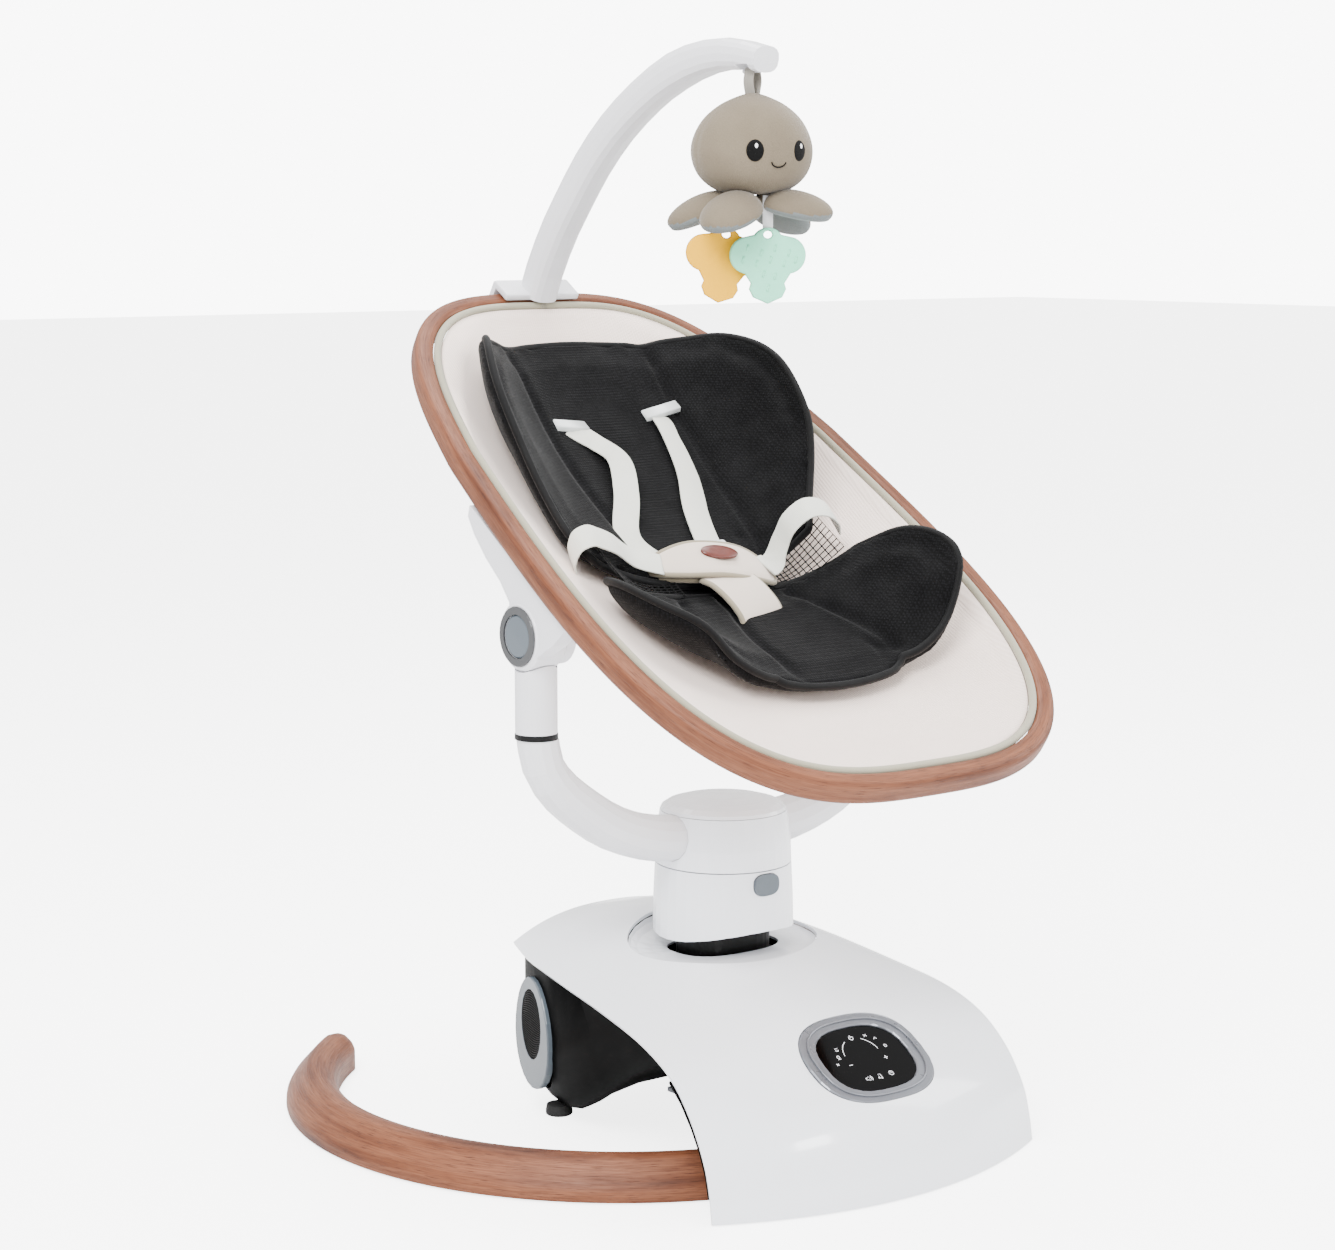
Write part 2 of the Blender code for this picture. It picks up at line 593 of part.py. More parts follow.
BUTTON_Z = 0.2315
button_frame = facing((0, NECK_Y - 0.0585, BUTTON_Z), (0, -1, 0))
release_button = prism("release_button", [squircle(0.0135, 0.0098, 2.8, 32)], 0.0100,
                       button_frame, "blue_grey")
rounded(release_button, 0.0012)
button_hole = prism("button_hole", [squircle(0.0139, 0.0102, 2.8, 32)], 0.028, button_frame, None)
boolean(neck_housing, button_hole)
button_axis = joint_frame("release_button_axis", button_frame.translation)
hang_on(button_axis, release_button)
button_axis.parent = neck_axis
button_axis.matrix_parent_inverse = Matrix.Translation(-AXLE)
hang_on(neck_axis, neck_housing, neck_post, swing_axle, drive_sector, slot_shutter, turn_bearing)
hang_on(pinion_axis, drive_pinion)

# ---------------------------------------------------------------- turning fork
turn_axis = joint_frame("turn_axis", (0, NECK_Y, SEAM_Z))
neck_collar = turned("neck_collar", [(0.0572, 0.2906), (0.0595, 0.277), (0.0610, 0.262), (0.0616, 0.2441),
                                     (0.0586, 0.2441), (0.0584, 0.2476), (0.0128, 0.2476), (0.0128, 0.2506),
                                     (0.0580, 0.2506), (0.0566, 0.277), (0.0542, 0.2906)],
                     (0, NECK_Y, 0), "white", 36, closed=True)
neck_cap = turned("neck_cap", [(0, 0.3030), (0.022, 0.3024), (0.040, 0.3004), (0.050, 0.2976),
                               (0.0556, 0.2940), (0.0570, 0.2911), (0.050, 0.2911), (0.036, 0.2965),
                               (0, 0.2990)],
                  (0, NECK_Y, 0), "white", 36)

# Middle line of the right arm in its own upright plane: (x, z, radius)
ARM_LINE = [(0.028, 0.2690, 0.0210), (0.050, 0.2700, 0.0210), (0.088, 0.2755, 0.0208),
            (0.127, 0.2900, 0.0205), (0.1625, 0.3135, 0.0200), (0.184, 0.3325, 0.0193),
            (0.198, 0.3540, 0.0185), (TUBE_X, JOINT_Z + 0.0050, TUBE_R)]
fork, reclining = [], []
arm_run = smooth(ARM_LINE, 15)
hinge = Vector((0, NECK_Y, HINGE_Z))
recline_axis = joint_frame("recline_axis", hinge)
SEAT_S = -0.1659                    # the hinge axis in the seat's own frame
SEAT_H = -0.0720
WING = [(-0.046, -0.0232), (-0.049, -0.0330), (-0.0640, -0.0400), (-0.0890, -0.0465), (-0.1160, -0.0500),
        (-0.1380, -0.0570), (-0.1660, -0.0900), (-0.1940, -0.0740), (-0.2080, -0.0480), (-0.2160, -0.0232)]
for side, sign in SIDES:
    points = [(sign * x, NECK_Y, z) for x, z, _ in arm_run]
    arm = tube("arm_" + side, points, [r for _, _, r in arm_run], "satin_white", 5)
    arm_top = rods("arm_top_" + side, None, [(0.04, (sign * TUBE_X, NECK_Y, JOINT_Z - 0.0026),
                                              (sign * TUBE_X, NECK_Y, JOINT_Z + 0.04))])
    boolean(arm, arm_top)
    room = tube("arm_room_" + side, points[:8], [r + GAP for _, _, r in arm_run[:8]], None, 5)
    boolean(neck_collar, room)
    boolean(neck_cap, room)
    x = sign * TUBE_X
    joint_ring = rods("joint_ring_" + side, "black", [(0.0187, (x, NECK_Y, JOINT_Z - 0.0022),
                                                       (x, NECK_Y, JOINT_Z + 0.0022))], 32)
    # The upright ends in a tongue beside the hinge boss.
    upright = rods("upright_" + side, "satin_white",
                   [(TUBE_R, (x, NECK_Y, JOINT_Z + 0.0026), (x, NECK_Y, 0.468))], 32)
    tongue = rods("tongue_" + side, None, [(0.0265, (sign * 0.1800, NECK_Y, HINGE_Z),
                                            (sign * 0.1895, NECK_Y, HINGE_Z))], 32)
    boss_room = rods("boss_room_" + side, None, [(HINGE_R + 0.0008, (sign * 0.1895, NECK_Y, HINGE_Z),
                                                  (sign * 0.26, NECK_Y, HINGE_Z))], 28)
    boolean(upright, boss_room)
    boolean(upright, tongue, "UNION")
    pin_hole = rods("pin_hole_" + side, None, [(0.00809, (sign * 0.17, NECK_Y, HINGE_Z),
                                                (sign * 0.2085, NECK_Y, HINGE_Z))], 24)
    boolean(upright, pin_hole)
    pin = rods("hinge_pin_" + side, "steel", [(0.008, (sign * 0.1775, NECK_Y, HINGE_Z),
                                               (sign * 0.2075, NECK_Y, HINGE_Z))], 24)
    pin_head = rods("pin_head_" + side, None, [(0.0115, (sign * 0.1765, NECK_Y, HINGE_Z),
                                                (sign * 0.1796, NECK_Y, HINGE_Z))], 24)
    boolean(pin, pin_head, "UNION")
    fork += [arm, joint_ring, upright, pin]

    # The bracket is a boss and a wing that runs along the underside of the rim.
    across = SEAT @ Matrix.Translation((sign * 0.2125, 0, 0))
    across = across @ Matrix(((0, 0, 1, 0), (1, 0, 0, 0), (0, 1, 0, 0), (0, 0, 0, 1)))
    bracket = prism("bracket_" + side, [WING], 0.017, across, "white")
    rounded(bracket, 0.004, 2, 30)
    boss = rods("boss_" + side, None, [(HINGE_R, (sign * 0.1902, NECK_Y, HINGE_Z),
                                        (sign * HINGE_X, NECK_Y, HINGE_Z))], 28)
    rounded(boss, 0.003, 1)
    boolean(bracket, boss, "UNION")
    boolean(bracket, pin_hole)
    button_room = rods("recline_button_room_" + side, None, [(0.0190, (sign * 0.2105, NECK_Y, HINGE_Z),
                                                              (sign * 0.25, NECK_Y, HINGE_Z))], 32)
    boolean(bracket, button_room)
    outward = facing(hinge + Vector((sign * HINGE_X, 0, 0)), (sign, 0, 0))
    ring = turned("hinge_ring_" + side, [(0.0258, 0.0012), (0.0258, GAP), (0.0190, GAP), (0.0190, 0.0020),
                                         (0.0250, 0.0020)], outward.translation, "grey",
                  28, closed=True, matrix=outward.to_3x3().to_4x4())
    reclining += [bracket, ring]
    button = turned("recline_button_" + side,
                    [(0, 0.0018), (0.0170, 0.0014), (0.0184, 0.0004), (0.0184, -0.0080), (0, -0.0080)],
                    outward.translation, "blue_grey", 24,
                    matrix=outward.to_3x3().to_4x4())
    axis = joint_frame("recline_button_axis_" + side, outward.translation)
    hang_on(axis, button)
    axis.parent = recline_axis
    axis.matrix_parent_inverse = Matrix.Translation(-hinge)
hang_on(turn_axis, neck_collar, neck_cap, *fork)
turn_axis.parent = neck_axis
turn_axis.matrix_parent_inverse = Matrix.Translation(-AXLE)
recline_axis.parent = turn_axis
recline_axis.matrix_parent_inverse = Matrix.Translation((0, -NECK_Y, -SEAM_Z))

# ---------------------------------------------------------------- seat rim, piping and sling
def rim_point(angle):
    """The rim's inner top edge in the seat's frame, with its outward direction."""
    length, exponent = (RIM_HEAD, 3.45) if cos(angle) > 0 else (RIM_FOOT, 3.1)
    s = length * power(cos(angle), 2 / exponent)
    x = RIM_HALF * (1 - RIM_TAPER * s / RIM_FOOT if s < 0 else 1 - RIM_TAPER * s / RIM_HEAD)
    x *= power(sin(angle), 2 / exponent)
    return Vector((x, s, 0.0485 * s ** 2 + 0.1412 * s ** 3))


RIM_STEPS = 48
fine = [rim_point(2 * pi * i / 2000 + 0.0005) for i in range(2000)]
fine_run = np.concatenate([[0], np.cumsum([(b - a).length for a, b in zip(fine, fine[1:] + fine[:1])])])
rim_line = []
for i in range(RIM_STEPS):
    at = np.interp((i + 0.5) * fine_run[-1] / RIM_STEPS, fine_run, range(2001))
    rim_line.append(fine[int(at) % 2000])
rim_out = []
for i, point in enumerate(rim_line):
    along = rim_line[(i + 1) % RIM_STEPS] - rim_line[i - 1]
    out = Vector((along.y, -along.x, 0)).normalized()
    rim_out.append(out if out.dot(Vector((point.x, point.y + 0.1, 0))) > 0 else -out)


def around(section):
    """Rings of a section (outward, up) all round the rim."""
    return [[p + o * out + Vector((0, 0, up)) for out, up in section] for p, o in zip(rim_line, rim_out)]


rim_section = [(0.0, -0.001), (0.004, 0.0012), (0.012, 0.0012), (0.0158, -0.0012), (RIM_WIDE, -0.005),
               (RIM_WIDE, -0.017), (0.0148, -0.0208), (0.011, -RIM_TALL), (0.003, -RIM_TALL), (0.0, -0.0195)]
seat_rim = loft("seat_rim", around(rim_section), "wood", closed=True, matrix=SEAT)
piping_section = [(-0.0040 + 0.0036 * cos(a), -0.0022 + 0.0034 * sin(a))
                  for a in np.linspace(0, 2 * pi, 6, endpoint=False)]
seat_piping = loft("seat_piping", around(piping_section), "piping", closed=True, matrix=SEAT)


def sling_height(x, s):
    """Upper side of the sling in the seat's frame."""
    length = RIM_HEAD - SLING_MIDDLE if s > SLING_MIDDLE else RIM_FOOT + SLING_MIDDLE
    half = RIM_HALF * (1 - RIM_TAPER * s / (RIM_HEAD if s > 0 else RIM_FOOT))
    reach = min(1.0, (abs((s - SLING_MIDDLE) / length) ** 2.6 + abs(x / half) ** 2.6) ** (1 / 2.6))
    return 0.0485 * s ** 2 + 0.1412 * s ** 3 - 0.004 - SLING_DEEP * (1 - reach ** 2.3)


middle = Vector((0, SLING_MIDDLE, 0))
sling_rows = []
for reach in (1.0, 0.90, 0.74, 0.52, 0.26):
    row = []
    for point, out in zip(rim_line[::2], rim_out[::2]):
        edge = point - out * 0.0082
        flat = middle + (Vector((edge.x, edge.y, 0)) - middle) * reach
        row.append((flat.x, flat.y, sling_height(flat.x, flat.y) if reach < 0.99 else point.z - 0.004))
    sling_rows.append(row)
seat_sling = sheet("seat_sling", sling_rows, 0.004, "cream", wrap="closed", matrix=SEAT)

# ---------------------------------------------------------------- seat insert
PAD = 0.018


BACK = [(0.158, 0.070, 0.012), (0.140, 0.108, 0.030), (0.105, 0.134, 0.045), (0.050, 0.148, 0.058),
        (-0.020, 0.150, 0.060), (-0.080, 0.140, 0.040), (-0.140, 0.118, 0.002)]
FRONT = [(-0.168, 0.128, 0.020), (-0.200, 0.152, 0.046), (-0.240, 0.156, 0.046), (-0.275, 0.132, 0.016),
         (-0.302, 0.085, -0.014)]


def insert_top(x, s, half, wing):
    """Upper side of the insert: it lies on the sling and its wings stand up."""
    resting = sling_height(x, s) + PAD + 0.0045
    middle_low = sling_height(0, s) + PAD + 0.0045
    return max(resting, middle_low + (wing - middle_low) * abs(x / half) ** 3.2)


def insert(name, stations):
    """A padded piece from (s, half width, height of the wing) for each station along the seat."""
    grid = []
    for s, half, wing in smooth(stations, 9):
        spots = [half * power(u, 0.9) for u in np.linspace(-1, 1, 11)]
        grid.append([(x, s, insert_top(x, s, half, wing)) for x in spots])
    return sheet(name, grid, PAD, "black_mesh", matrix=SEAT)


insert_back = insert("insert_back", BACK)
insert_seat = insert("insert_seat", FRONT)

# ---------------------------------------------------------------- harness
def on_insert(x, s, lift=0.0):
    """A place above the padded insert."""
    stations = np.array((BACK if s > -0.155 else FRONT)[::-1])
    half, wing = (np.interp(s, stations[:, 0], stations[:, i]) for i in (1, 2))
    top = max(insert_top(near, s, half, wing) for near in (x, abs(x) + 0.012))
    return (x, s, top + 0.002 + lift)


def ribbon(path, width, count=8):
    """Rows of points across a strap that follows a path in the seat's frame."""
    run = [Vector(p) for p in smooth(path, count)]
    rows = []
    for i, point in enumerate(run):
        along = run[min(i + 1, count - 1)] - run[max(i - 1, 0)]
        across = along.cross(Vector((0, 0, 1))).normalized() * width / 2
        rows.append((point - across, point + across))
    return rows


def strap(name, path, width, matrix=SEAT):
    return sheet(name, ribbon(path, width), 0.0018, "webbing", matrix=matrix)


harness = []
for side, sign in SIDES:
    shoulder = [on_insert(sign * 0.055, 0.062, 0.004), on_insert(sign * 0.052, 0.010, 0.007),
                on_insert(sign * 0.046, -0.040, 0.006), on_insert(sign * 0.038, -0.098, 0.008)]
    harness.append(strap("shoulder_strap_" + side, shoulder, 0.026))
BUCKLE_S = -0.122
for side, sign in SIDES:
    waist = [on_insert(sign * x, BUCKLE_S + s, lift)
             for x, s, lift in ((0.025, -0.010, 0.003), (0.050, -0.009, 0.0005), (0.072, -0.006, 0.001),
                                (0.096, 0, 0.002))]
    harness.append(strap("waist_strap_" + side, waist, 0.024))
crotch_strap = strap("crotch_strap", [(0, BUCKLE_S - 0.030, on_insert(0, BUCKLE_S)[2] + 0.006),
                                      (0, -0.180, on_insert(0, -0.180)[2] + 0.004),
                                      (0, -0.215, on_insert(0, -0.215)[2] + 0.003)], 0.034)
x, s, h = on_insert(0, BUCKLE_S, 0.0100)
buckle = block("buckle", (0.044, 0.036, 0.013), (0, 0, 0), "satin_white")
buckle.matrix_world = SEAT @ Matrix.Translation((x, s - 0.004, h))
rounded(buckle, 0.002)
buckle_pad = prism("buckle_pad", [squircle(0.061, 0.028, 2.4, 24)], 0.009,
                   SEAT @ Matrix.Translation((x, s, h + 0.0120)), "cream")
rounded(buckle_pad, 0.003, 2)
hang_on(recline_axis, *reclining, seat_rim, seat_piping, seat_sling, insert_back, insert_seat,
        *harness, crotch_strap, buckle, buckle_pad)

# ---------------------------------------------------------------- toy bar and toys
# Middle line of the toy bar in the plane X = 0: (y from the neck axis, z)
BAR_LINE = [(0.2864, 0.744), (0.2719, 0.772), (0.2494, 0.8055), (0.2244, 0.835), (0.1969, 0.865),
            (0.1614, 0.8955), (0.1194, 0.922), (0.0754, 0.9425), (0.0324, 0.9540), (-0.0066, 0.9570),
            (-0.0350, 0.9540),
            (-0.0560, 0.9500)]
bar_run = smooth(BAR_LINE, 18)
bar_rings = []
for i, (y, z) in enumerate(bar_run):
    ahead, behind = bar_run[min(i + 1, 17)], bar_run[max(i - 1, 0)]
    along = Vector((0, ahead[0] - behind[0], ahead[1] - behind[1])).normalized()
    normal = along.cross(Vector((1, 0, 0)))
    end = max(0.0, i / 17 - 0.72) / 0.28
    half_x, half_n = 0.0165 - 0.0025 * end, 0.0172 - 0.0058 * end
    bar_rings.append([Vector((0, NECK_Y + y, z)) + Vector((x, 0, 0)) + normal * n
                      for x, n in squircle(half_x, half_n, 2.6, 16)])
toy_bar = loft("toy_bar", bar_rings, "satin_white")
head_s = RIM_HEAD
saddle = block("saddle", (0.084, 0.0262, 0.0070), (0, 0, 0), None)
saddle.matrix_world = SEAT @ Matrix.Translation((0, head_s + 0.0112, 0.0095))
rounded(saddle, 0.002)
lip = block("saddle_lip", (0.084, 0.0060, 0.0300), (0, 0, 0), None)
lip.matrix_world = SEAT @ Matrix.Translation((0, head_s + 0.0214, -0.0036))
boolean(toy_bar, saddle, "UNION")
boolean(toy_bar, lip, "UNION")
notch = block("loop_notch", (0.05, 0.017, 0.020), (0, PLUSH_Y, HOOK_Z - 0.0045), None)
boolean(toy_bar, notch)
hook_pin = rods("hook_pin", None, [(0.0018, (0, PLUSH_Y - 0.012, HOOK_Z), (0, PLUSH_Y + 0.012, HOOK_Z))], 12)
boolean(toy_bar, hook_pin, "UNION")
bar_axis = joint_frame("toy_bar_axis", SEAT @ Vector((0, head_s, 0)))
hang_on(bar_axis, toy_bar)

loop_path = [(-0.0055, -0.0165), (-0.0036, -0.006)]
loop_path += [(-0.0032 * cos(a), 0.0032 * sin(a)) for a in np.linspace(0, pi, 7)]
loop_path += [(0.0036, -0.006), (0.0055, -0.0165)]
loop_grid = [[(x, y, HOOK_Z + z) for y in (PLUSH_Y - 0.0065, PLUSH_Y, PLUSH_Y + 0.0065)]
             for x, z in loop_path]
toy_loop = sheet("toy_loop", loop_grid, 0.0009, "plush", offset=0)
loop_axis = joint_frame("toy_loop_axis", (0, PLUSH_Y, HOOK_Z))
hang_on(loop_axis, toy_loop)

HEAD_Z = 0.8760
plush_head = turned("plush_head", [(0, 0.0470), (0.012, 0.0445), (0.028, 0.0375), (0.042, 0.0255),
                                   (0.0508, 0.009), (0.0525, -0.006), (0.0480, -0.021), (0.0380, -0.032),
                                   (0.024, -0.0385), (0, -0.0400)],
                    (0, PLUSH_Y, HEAD_Z), "plush", 20)
LEG_RINGS = [(0.10, -0.0545), (0.50, -0.0570), (0.85, -0.0620), (1.0, -0.0545), (0.85, -0.0460),
             (0.50, -0.0420), (0.10, -0.0408)]
LEG_HEADINGS = (15, 78, 140, 205, 300)
leg_rings = []
for reach, z in LEG_RINGS:
    ring = []
    for i in range(36):
        angle = 2 * pi * i / 36
        off = min(abs((angle - radians(heading) + pi) % (2 * pi) - pi) for heading in LEG_HEADINGS)
        radius = reach * (0.048 + 0.030 * reach * cos(min(3 * off, pi / 2)) ** 0.6)
        ring.append((radius * cos(angle), radius * sin(angle), z))
    leg_rings.append(ring)
plush_legs = loft("plush_legs", leg_rings, "plush", matrix=Matrix.Translation((0, PLUSH_Y, HEAD_Z)))
plush_axis = joint_frame("plush_axis", (0, PLUSH_Y, HEAD_Z + 0.0470))
hang_on(plush_axis, plush_head, plush_legs)

# A teether is three round lobes over a stem that narrows in two steps.
def teether_outline():
    points = []
    for (cx, cy), radius, start, stop in (((-0.0170, -0.024), 0.0160, 260, 110),
                                          ((0.0, -0.0145), 0.0140, 145, 35),
                                          ((0.0170, -0.024), 0.0160, 70, -80)):
        for a in np.linspace(radians(start), radians(stop), 9):
            points.append((cx + radius * cos(a), cy + radius * sin(a)))
    points += [(0.0145, -0.048), (0.0160, -0.053), (0.0125, -0.060), (0.0, -0.0655),
               (-0.0125, -0.060), (-0.0160, -0.053), (-0.0145, -0.048)]
    return points


HOLE = squircle(0.0035, 0.0030, 2, 14, (0, -0.0065))
teethers = []
for name, x, y, yaw, lean in (("mint", 0.000, -0.0215, -30, 0), ("yellow", -0.0205, 0.0035, -30, -7)):
    top = Vector((x, PLUSH_Y + y, HEAD_Z - 0.0405))
    turn = Matrix.Translation(top) @ Matrix.Rotation(radians(yaw), 4, "Z")
    # The plate stands upright in the turned frame's XZ plane and leans within it.
    upright = turn @ Matrix.Rotation(radians(90), 4, "X") @ Matrix.Rotation(radians(lean), 4, "Z")
    plate = prism("teether_" + name, [teether_outline(), HOLE], 0.0075,
                  upright @ Matrix.Translation((0, -0.0270, 0)), name)
    tape = [[turn @ Vector((w, 0, z)) for w in (-0.0045, 0.0045)] for z in (-0.0010, -0.0120, -0.0300)]
    boolean(plate, sheet("teether_tape_" + name, tape, 0.0010, None, up=(0, 1, 0), offset=0), "UNION")
    tape_room = block("tape_room_" + name, (0.020, 0.004, 0.040), top, None,
                      turn=Matrix.Rotation(radians(yaw), 4, "Z"))
    boolean(plush_legs, tape_room)
    axis = joint_frame("teether_axis_" + name, top)
    hang_on(axis, plate)
    axis.parent = plush_axis
    axis.matrix_parent_inverse = Matrix.Translation(-plush_axis.location)
    teethers.append(plate)
plush_axis.parent = loop_axis
plush_axis.matrix_parent_inverse = Matrix.Translation(-loop_axis.location)
loop_axis.parent = bar_axis
loop_axis.matrix_parent_inverse = Matrix.Translation(-bar_axis.location)
bar_axis.parent = recline_axis
bar_axis.matrix_parent_inverse = Matrix.Translation(-hinge)
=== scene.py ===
"""Electric baby swing, dressed: the finishes, cloth, padding, harness and hanging toy that go on
the swing's frame. Lengths are in metres, +Z is up and the front of the base faces -Y.
"""

from math import cos, copysign, pi, radians, sin

import bmesh
import bpy
import numpy as np
from mathutils import Matrix, Vector


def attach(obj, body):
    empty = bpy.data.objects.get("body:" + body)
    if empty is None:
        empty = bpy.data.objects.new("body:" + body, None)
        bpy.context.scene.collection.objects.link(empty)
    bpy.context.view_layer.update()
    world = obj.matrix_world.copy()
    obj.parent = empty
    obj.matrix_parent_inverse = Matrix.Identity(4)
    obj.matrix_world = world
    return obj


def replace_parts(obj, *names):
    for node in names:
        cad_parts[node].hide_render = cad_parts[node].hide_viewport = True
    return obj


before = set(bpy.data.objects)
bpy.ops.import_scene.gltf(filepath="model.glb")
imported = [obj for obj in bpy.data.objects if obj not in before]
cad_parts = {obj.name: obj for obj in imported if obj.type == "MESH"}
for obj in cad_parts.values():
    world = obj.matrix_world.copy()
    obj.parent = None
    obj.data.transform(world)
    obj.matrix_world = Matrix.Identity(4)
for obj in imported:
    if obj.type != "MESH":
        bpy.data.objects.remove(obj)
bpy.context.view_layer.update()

# ---------------------------------------------------------------- room
# The swing stands on a plain pale floor under large soft lamps, seen from its left front
# corner. Floor and sky look brighter to the camera than the light they give.
NECK_Y = -0.0435
ROOM_LIGHT, ROOM_SEEN, FLOOR_SEEN = 1.6, 9.0, 4.0   # the room's light; how bright it looks to the camera


def lamp(name, at, towards, size, power):
    light = bpy.data.lights.new(name, "AREA")
    light.size = size
    light.energy = power
    holder = bpy.data.objects.new(name, light)
    holder.location = at
    holder.rotation_euler = (Vector(towards) - Vector(at)).to_track_quat("-Z", "Y").to_euler()
    bpy.context.scene.collection.objects.link(holder)


lamp("key_lamp", (-2.0, -1.4, 2.6), (0, 0, 0.4), 1.4, 190)
lamp("side_lamp", (2.4, -1.2, 1.7), (0, 0, 0.5), 1.6, 60)
lamp("top_lamp", (0.2, 0.6, 3.0), (0, 0, 0.3), 2.2, 120)
lamp("front_lamp", (0.3, -2.6, 1.0), (0, 0, 0.25), 0.5, 22)
world = bpy.data.worlds.new("studio")
world.use_nodes = True
world.node_tree.nodes["Background"].inputs["Color"].default_value = (1.0, 1.0, 1.0, 1)
sky = world.node_tree.nodes["Background"].inputs["Strength"]
seen = world.node_tree.nodes.new("ShaderNodeLightPath")
lift = world.node_tree.nodes.new("ShaderNodeMapRange")
lift.inputs["To Min"].default_value = ROOM_LIGHT
lift.inputs["To Max"].default_value = ROOM_SEEN
world.node_tree.links.new(seen.outputs["Is Camera Ray"], lift.inputs["Value"])
world.node_tree.links.new(lift.outputs["Result"], sky)
bpy.context.scene.world = world

camera = bpy.data.objects.new("camera", bpy.data.cameras.new("camera"))
camera.data.sensor_width = 36
camera.data.lens = 77.03
camera.location = (-1.573, NECK_Y - 1.972, 0.8149)
camera.rotation_euler = (radians(81.92), 0, radians(-37.44))
bpy.context.scene.collection.objects.link(camera)
bpy.context.scene.camera = camera


class Wire:
    """An output of a node. Sums and products of wires and numbers add their own nodes."""

    def __init__(self, finish, socket):
        self.finish = finish
        self.socket = socket

    def maths(self, operation, first, second=0.0):
        return self.finish.node("Math", {"operation": operation}, {0: first, 1: second})

    def __add__(self, other):
        return self.maths("ADD", self, other)

    def __mul__(self, other):
        return self.maths("MULTIPLY", self, other)

    def __sub__(self, other):
        return self.maths("SUBTRACT", self, other)

    def __rsub__(self, other):
        return self.maths("SUBTRACT", other, self)


class Finish:
    """A material. What is the same all over it is set on the shader's own sockets."""

    def __init__(self, name, **constants):
        self.material = bpy.data.materials.new(name)
        self.material.use_nodes = True
        self.tree = self.material.node_tree
        self.shader = self.tree.nodes["Principled BSDF"]
        self.feed(**constants)

    def join(self, value, socket):
        if isinstance(value, Wire):
            self.tree.links.new(value.socket, socket)
        else:
            socket.default_value = value

    def feed(self, **inputs):
        for name, value in inputs.items():
            self.join(value, self.shader.inputs[name.replace("_", " ")])

    def node(self, kind, settings=None, sockets=None, out=0):
        made = self.tree.nodes.new("ShaderNode" + kind)
        for key, value in (settings or {}).items():
            if key == "stops":
                stops = made.color_ramp.elements
                stops[0].position, stops[0].color = value[0]
                stops[1].position, stops[1].color = value[-1]
                for position, colour in value[1:-1]:
                    stops.new(position).color = colour
            else:
                setattr(made, key, value)
        for key, value in (sockets or {}).items():
            self.join(value, made.inputs[key])
        return Wire(self, made.outputs[out])

    def place(self, stretch=(1, 1, 1), turn=(0, 0, 0), lay=False):
        """Where a point is on the piece: its lay along and across, or its place in the swing."""
        if lay:
            where = self.node("Attribute", {"attribute_name": "lay"}, out=1)
        else:
            where = self.node("TexCoord", out=3)
        return self.node("Mapping", None, {"Vector": where, "Scale": stretch, "Rotation": turn})

    def noise(self, at, scale, detail=2.0, roughness=0.5):
        return self.node("TexNoise", None, {"Vector": at, "Scale": scale, "Detail": detail,
                                            "Roughness": roughness})

    def ramp(self, value, *stops):
        return self.node("ValToRGB", {"stops": stops}, {0: value})

    def level(self, value, low, high, to_low=0.0, to_high=1.0):
        return self.node("MapRange", None, {0: value, 1: low, 2: high, 3: to_low, 4: to_high})

    def mix(self, factor, first, second):
        return self.node("Mix", {"data_type": "RGBA"}, {0: factor, 6: first, 7: second}, out=2)

    def bump(self, height, depth):
        self.feed(Normal=self.node("Bump", None, {"Height": height, "Distance": depth}))


def shade(red, green, blue):
    """A colour given as 0 to 255 on a screen, deepened to hold its own under the bright lamps."""
    return (*[(c / 255) ** 3.2 for c in (red, green, blue)], 1)


floor_paint = Finish("floor_paint", Roughness=0.6)
at = floor_paint.place()
floor_paint.feed(Base_Color=floor_paint.mix(floor_paint.noise(at, 3.0), shade(250, 250, 250), shade(253, 253, 253)),
                 Emission_Color=(1, 1, 1, 1), Emission_Strength=floor_paint.node("LightPath") * FLOOR_SEEN)
bpy.ops.mesh.primitive_plane_add(size=40)
floor = bpy.context.object
floor.name = "floor"
floor.data.materials.append(floor_paint.material)

# ---------------------------------------------------------------- base shell
# A gloss white cover, moulded in one piece, that arches from the back of the base down to
# the floor at the front. It has an oval well for the neck and an opening for the panel.
SHELL = [
    (0.177, 0.169, 0.112, 0.17, 0.147),
    (0.112, 0.182, 0.128, 0.122, 0.143),
    (0.05, 0.184, 0.145, 0.05, 0.14),
    (-0.018, 0.177, 0.158, -0.028, 0.134),
    (-0.088, 0.157, 0.168, -0.099, 0.124),
    (-0.157, 0.13, 0.174, -0.148, 0.107),
    (-0.197, 0.104, 0.178, -0.18, 0.081),
    (-0.238, 0.076, 0.18, -0.201, 0.049),
    (-0.254, 0.036, 0.1805, -0.209, 0.024),
    (-0.26, 0.001, 0.181, -0.213, 0.001),
]
WELL = (0.094, 0.071)
BEZEL = (0.063, 0.0485)


def power(value, exponent):
    return copysign(abs(value) ** exponent, value)


def through(points, count):
    """Points spread evenly along a smooth curve through the given ones."""
    p = np.array(points, float)
    p = np.vstack([2 * p[0] - p[1], p, 2 * p[-1] - p[-2]])
    fine = []
    for a, b, c, d in zip(p, p[1:], p[2:], p[3:]):
        for t in np.linspace(0, 1, 24, endpoint=False):
            fine.append(0.5 * (2 * b + (c - a) * t + (2 * a - 5 * b + 4 * c - d) * t ** 2
                               + (3 * b - a - 3 * c + d) * t ** 3))
    fine = np.array(fine + [p[-2]])
    run = np.concatenate([[0], np.cumsum(np.linalg.norm(np.diff(fine, axis=0), axis=1))])
    spots = np.linspace(0, run[-1], count)
    return np.column_stack([np.interp(spots, run, column) for column in fine.T])


